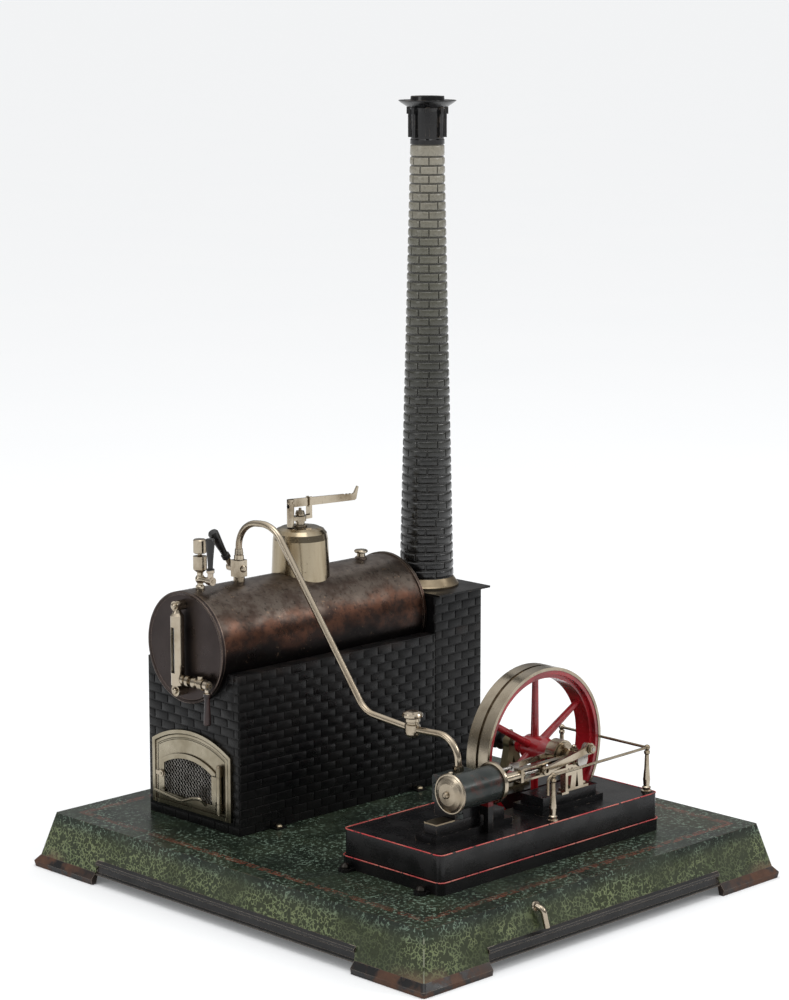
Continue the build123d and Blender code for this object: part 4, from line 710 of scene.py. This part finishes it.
def house_brickwork():
    height = house_hi.z - DECK_Z
    span_x, span_y = house_hi.x - house_lo.x, HOUSE_Y1 - HOUSE_Y0
    east, north = Vector((1, 0, 0)), Vector((0, 1, 0))
    wall_bricks("house_bricks_engine_side", Vector((house_lo.x, HOUSE_Y0, DECK_Z)), east, -north, span_x,
                height)
    wall_bricks("house_bricks_back", Vector((house_hi.x, HOUSE_Y1, DECK_Z)), -east, north, span_x, height)
    wall_bricks("house_bricks_front", Vector((house_lo.x, HOUSE_Y1, DECK_Z)), -north, -east, span_y, height,
                front_keep)
    wall_bricks("house_bricks_rear", Vector((house_hi.x, block_hi.y, DECK_Z)), north, east,
                HOUSE_Y1 - block_hi.y, height)


def block_brickwork():
    height = block_hi.z - DECK_Z
    span_x, span_y = block_hi.x - block_lo.x, block_hi.y - block_lo.y
    east, north = Vector((1, 0, 0)), Vector((0, 1, 0))
    wall_bricks("block_bricks_engine_side", Vector((block_lo.x, block_lo.y, DECK_Z)), east, -north, span_x,
                height)
    wall_bricks("block_bricks_back", Vector((block_hi.x, block_hi.y, DECK_Z)), -east, north, span_x, height)
    wall_bricks("block_bricks_end", Vector((block_hi.x, block_lo.y, DECK_Z)), north, east, span_y, height)
    above = house_hi.z + HOUSE_CLEARANCE
    wall_bricks("block_bricks_boiler_side", Vector((block_lo.x, block_hi.y, above)), -north, -east, span_y,
                block_hi.z - above, boiler_keep)


def boiler_keep(outline):
    """Leaves out the bricks that the boiler's rear end hides."""
    middle = Vector((sum(p[0] for p in outline), sum(p[1] for p in outline))) / len(outline)
    world_y, world_z = block_hi.y - middle.x, house_hi.z + HOUSE_CLEARANCE + middle.y
    rear_lo, rear_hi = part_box("boiler_rear_end")
    hidden = (rear_hi.z - rear_lo.z) / 2 + REAR_MARGIN
    return outline if math.hypot(world_y - BOILER[0], world_z - BOILER[1]) > hidden else None


def stack_brickwork():
    """Courses of curved bricks round the tapered stack, under a plain band at its top."""
    foot_r, top_r = STACK_RADII
    height = stack_hi.z - stack_lo.z
    bricked = height - STACK_BAND
    courses = round(bricked / BRICK_COURSE)
    verts, faces = [], []
    for row in range(courses + 1):
        low = stack_lo.z + bricked * row / courses
        high = stack_lo.z + bricked * (row + 1) / courses if row < courses else stack_hi.z
        radius = foot_r + (top_r - foot_r) * ((low + high) / 2 - stack_lo.z) / height
        count = max(6, round(2 * math.pi * radius / STACK_BRICK)) if row < courses else 1
        for k in range(count):
            start = 2 * math.pi * (k + 0.5 * (row % 2)) / count + STACK_TURN
            curved_brick(verts, faces, start, 2 * math.pi / count, low, high, radius)
    return add_piece("stack_bricks", verts, faces, stack_paint, crease=30.0)


def curved_brick(verts, faces, start, turn, low, high, radius):
    """A brick that follows the stack: bevelled rings round a subdivided face."""
    foot_r, top_r = STACK_RADII
    slope = (top_r - foot_r) / (stack_hi.z - stack_lo.z)
    steps = max(4, round(turn * 16 / math.pi))
    rings = []
    for inwards, share in STACK_PROFILE:
        edge = BRICK_JOINT / 2 + inwards * MM
        z0, z1 = low + edge, high - edge
        side = edge * UPRIGHT_JOINT
        a0, a1 = start + side / radius, start + turn - side / radius
        across = [a0 + (a1 - a0) * i / steps for i in range(steps + 1)]
        ring = []
        for z, angles in ((z0, across), (z1, across[::-1])):
            for angle in angles:
                r = foot_r + slope * (z - stack_lo.z) + share * STACK_RISE
                ring.append(len(verts))
                verts.append((STACK_X + r * math.cos(angle), STACK_Y + r * math.sin(angle), z))
        rings.append(ring)
    size = len(rings[0])
    for lower, upper in zip(rings, rings[1:]):
        for i in range(size):
            j = (i + 1) % size
            faces.append((lower[i], lower[j], upper[j], upper[i]))
    top = rings[-1]
    for i in range(steps):
        faces.append((top[i], top[i + 1], top[size - 2 - i], top[size - 1 - i]))


# ---- painted lines and woven wire -----------------------------------------------------------------
def bed_lining():
    """Red lines along the bed's top edge and the top edge of its flange."""
    bed_top, flange_top = DECK_Z + BED_HEIGHT, DECK_Z + FLANGE_HEIGHT
    for name, height in (("bed_line_top", bed_top), ("bed_line_flange", flange_top)):
        outline = level_outline("engine_bed", height)
        path = [Vector((x, y, height)) for x, y in outline]
        verts, faces = [], []
        tube(verts, faces, dense(path, LINE_STEP), LINE_RADIUS, 6, closed=True)
        add_piece(name, verts, faces, lining)


def dense(path, step):
    """The closed path with points no further apart than step."""
    points = []
    for a, b in zip(path, path[1:] + path[:1]):
        count = max(1, math.ceil((b - a).length / step))
        points += [a.lerp(b, i / count) for i in range(count)]
    return points


def woven_mesh():
    """Wire gauze in the fire door, woven corner to corner, in place of its plain sheet."""
    lo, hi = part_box("door_mesh")
    outline = convex_hull([(v.co.y, v.co.z) for v in nodes["door_mesh"].data.vertices])
    outline = inset(outline, -0.3 * MM) or outline
    middle = Vector(((lo.y + hi.y) / 2, (lo.z + hi.z) / 2))
    reach = (hi.y - lo.y + hi.z - lo.z) / 2
    verts, faces = [], []
    for side in (1, -1):
        along = Vector((1, side)).normalized()
        across = Vector((-along.y, along.x))
        count = int(reach / GAUZE_PITCH)
        for k in range(-count, count + 1):
            foot = middle + across * (k * GAUZE_PITCH)
            span = crossing(outline, foot, along)
            if not span or span[1] - span[0] < LEAST_WIRE:
                continue
            steps = max(2, round((span[1] - span[0]) / (GAUZE_PITCH / 4)))
            path = []
            for i in range(steps + 1):
                t = span[0] + (span[1] - span[0]) * i / steps
                point = foot + along * t
                wave = side * math.cos(math.pi * (t / GAUZE_PITCH + k)) * GAUZE_WIRE * 0.8
                path.append(Vector(((lo.x + hi.x) / 2 + wave, point.x, point.y)))
            tube(verts, faces, path, GAUZE_WIRE, 5)
    return add_piece("door_gauze", verts, faces, dark_wire, "fire_door", ["door_mesh"],
                     crease=80.0)


def crossing(outline, foot, along):
    """Where a line enters and leaves a convex outline, as distances from foot."""
    low, high = -1.0, 1.0
    for i, a in enumerate(outline):
        b = outline[(i + 1) % len(outline)]
        normal = Vector((a[1] - b[1], b[0] - a[0]))
        if normal.length < 1e-9:
            continue
        gap = (Vector(a) - foot).dot(normal)
        rate = along.dot(normal)
        if abs(rate) < 1e-12:
            if gap > 0:
                return None
        elif rate > 0:
            low = max(low, gap / rate)
        else:
            high = min(high, gap / rate)
    return (low, high) if high > low else None


# ---- studio ---------------------------------------------------------------------------------------
SKY_EDGE, SKY_TOP = 0.2, 1.4     # strength at the horizon, and what is added overhead
FLOOR_GLOW = 0.12
FLOOR_HALF = 300.0               # far enough for the floor's edge to melt into the backdrop
EYE = (-1.4124, -1.4167, 0.6251)
EYE_DOWN, EYE_TURN = 0.1743, 0.7904      # how far the camera looks down, and its heading from +X
LENS, SENSOR = 103.36, 36.0
LOOK_AT = (0, 0, 0.15)           # what the softboxes are aimed at


def camera():
    data = bpy.data.cameras.new("camera")
    data.lens, data.sensor_width = LENS, SENSOR
    data.clip_end = 1000
    eye = bpy.data.objects.new("camera", data)
    eye.location = EYE
    eye.rotation_euler = (math.pi / 2 - EYE_DOWN, 0, EYE_TURN - math.pi / 2)
    bpy.context.scene.collection.objects.link(eye)
    bpy.context.scene.camera = eye


def softbox(name, place, size, power):
    """A white rectangular light that points at the object."""
    data = bpy.data.lights.new(name, "AREA")
    data.shape, data.size, data.size_y = "RECTANGLE", size[0], size[1]
    data.energy = power
    lamp = bpy.data.objects.new(name, data)
    lamp.location = place
    lamp.rotation_euler = (Vector(LOOK_AT) - Vector(place)).to_track_quat("-Z", "Y").to_euler()
    bpy.context.scene.collection.objects.link(lamp)


def sky():
    """Soft light from overhead that falls off towards a dim horizon. The camera sees plain white."""
    world = bpy.data.worlds.new("studio")
    bpy.context.scene.world = world
    world.use_nodes = True
    tree = world.node_tree
    tree.nodes.clear()

    def node(kind, **inputs):
        made = tree.nodes.new("ShaderNode" + kind)
        for place, value in inputs.items():
            socket = made.inputs[place.replace("_", " ") if not place[1:].isdigit() else int(place[1:])]
            if isinstance(value, bpy.types.NodeSocket):
                tree.links.new(value, socket)
            else:
                socket.default_value = value
        return made

    way = node("SeparateXYZ", _0=node("TexCoord").outputs["Generated"])
    rise = node("Math", _0=way.outputs["Z"], _1=0.0)
    rise.operation = "MAXIMUM"
    squared = node("Math", _0=rise.outputs[0], _1=2.0)
    squared.operation = "POWER"
    strength = node("Math", _0=squared.outputs[0], _1=SKY_TOP, _2=SKY_EDGE)
    strength.operation = "MULTIPLY_ADD"
    light = node("Background", Color=(1, 1, 1, 1), Strength=strength.outputs[0])
    seen = node("Background", Color=(0.91, 0.92, 0.93, 1), Strength=1.0)
    pick = node("MixShader", _0=node("LightPath").outputs["Is Camera Ray"],
                _1=light.outputs[0], _2=seen.outputs[0])
    node("OutputWorld", Surface=pick.outputs[0])


def floor():
    finish = Finish("floor_paper", roughness=0.85, gloss=0.1)
    finish.set(Base_Color=finish.mix(finish.noise(3, 2), (0.87, 0.88, 0.89), (0.89, 0.895, 0.90)))
    finish.set(Emission_Color=(0.96, 0.98, 1.0, 1), Emission_Strength=FLOOR_GLOW)
    corners = [(a * FLOOR_HALF, b * FLOOR_HALF, 0) for a, b in ((-1, -1), (1, -1), (1, 1), (-1, 1))]
    mesh = bpy.data.meshes.new("floor")
    mesh.from_pydata(corners, [], [(0, 1, 2, 3)])
    mesh.materials.append(finish.material)
    made = bpy.data.objects.new("floor", mesh)
    bpy.context.scene.collection.objects.link(made)


def studio():
    """A plain pale floor, soft light from overhead and weak softboxes for the highlights."""
    sky()
    floor()
    softbox("key", (1.5, -1.9, 1.6), (1.0, 0.8), 15)
    softbox("left", (-2.3, 0.5, 1.2), (0.8, 1.2), 8)
    softbox("top", (-0.2, -0.3, 2.4), (1.2, 1.2), 9)
    bpy.context.scene.view_settings.view_transform = "Standard"


paint_nodes()
house_brickwork()
block_brickwork()
stack_brickwork()
bed_lining()
woven_mesh()
camera()
studio()
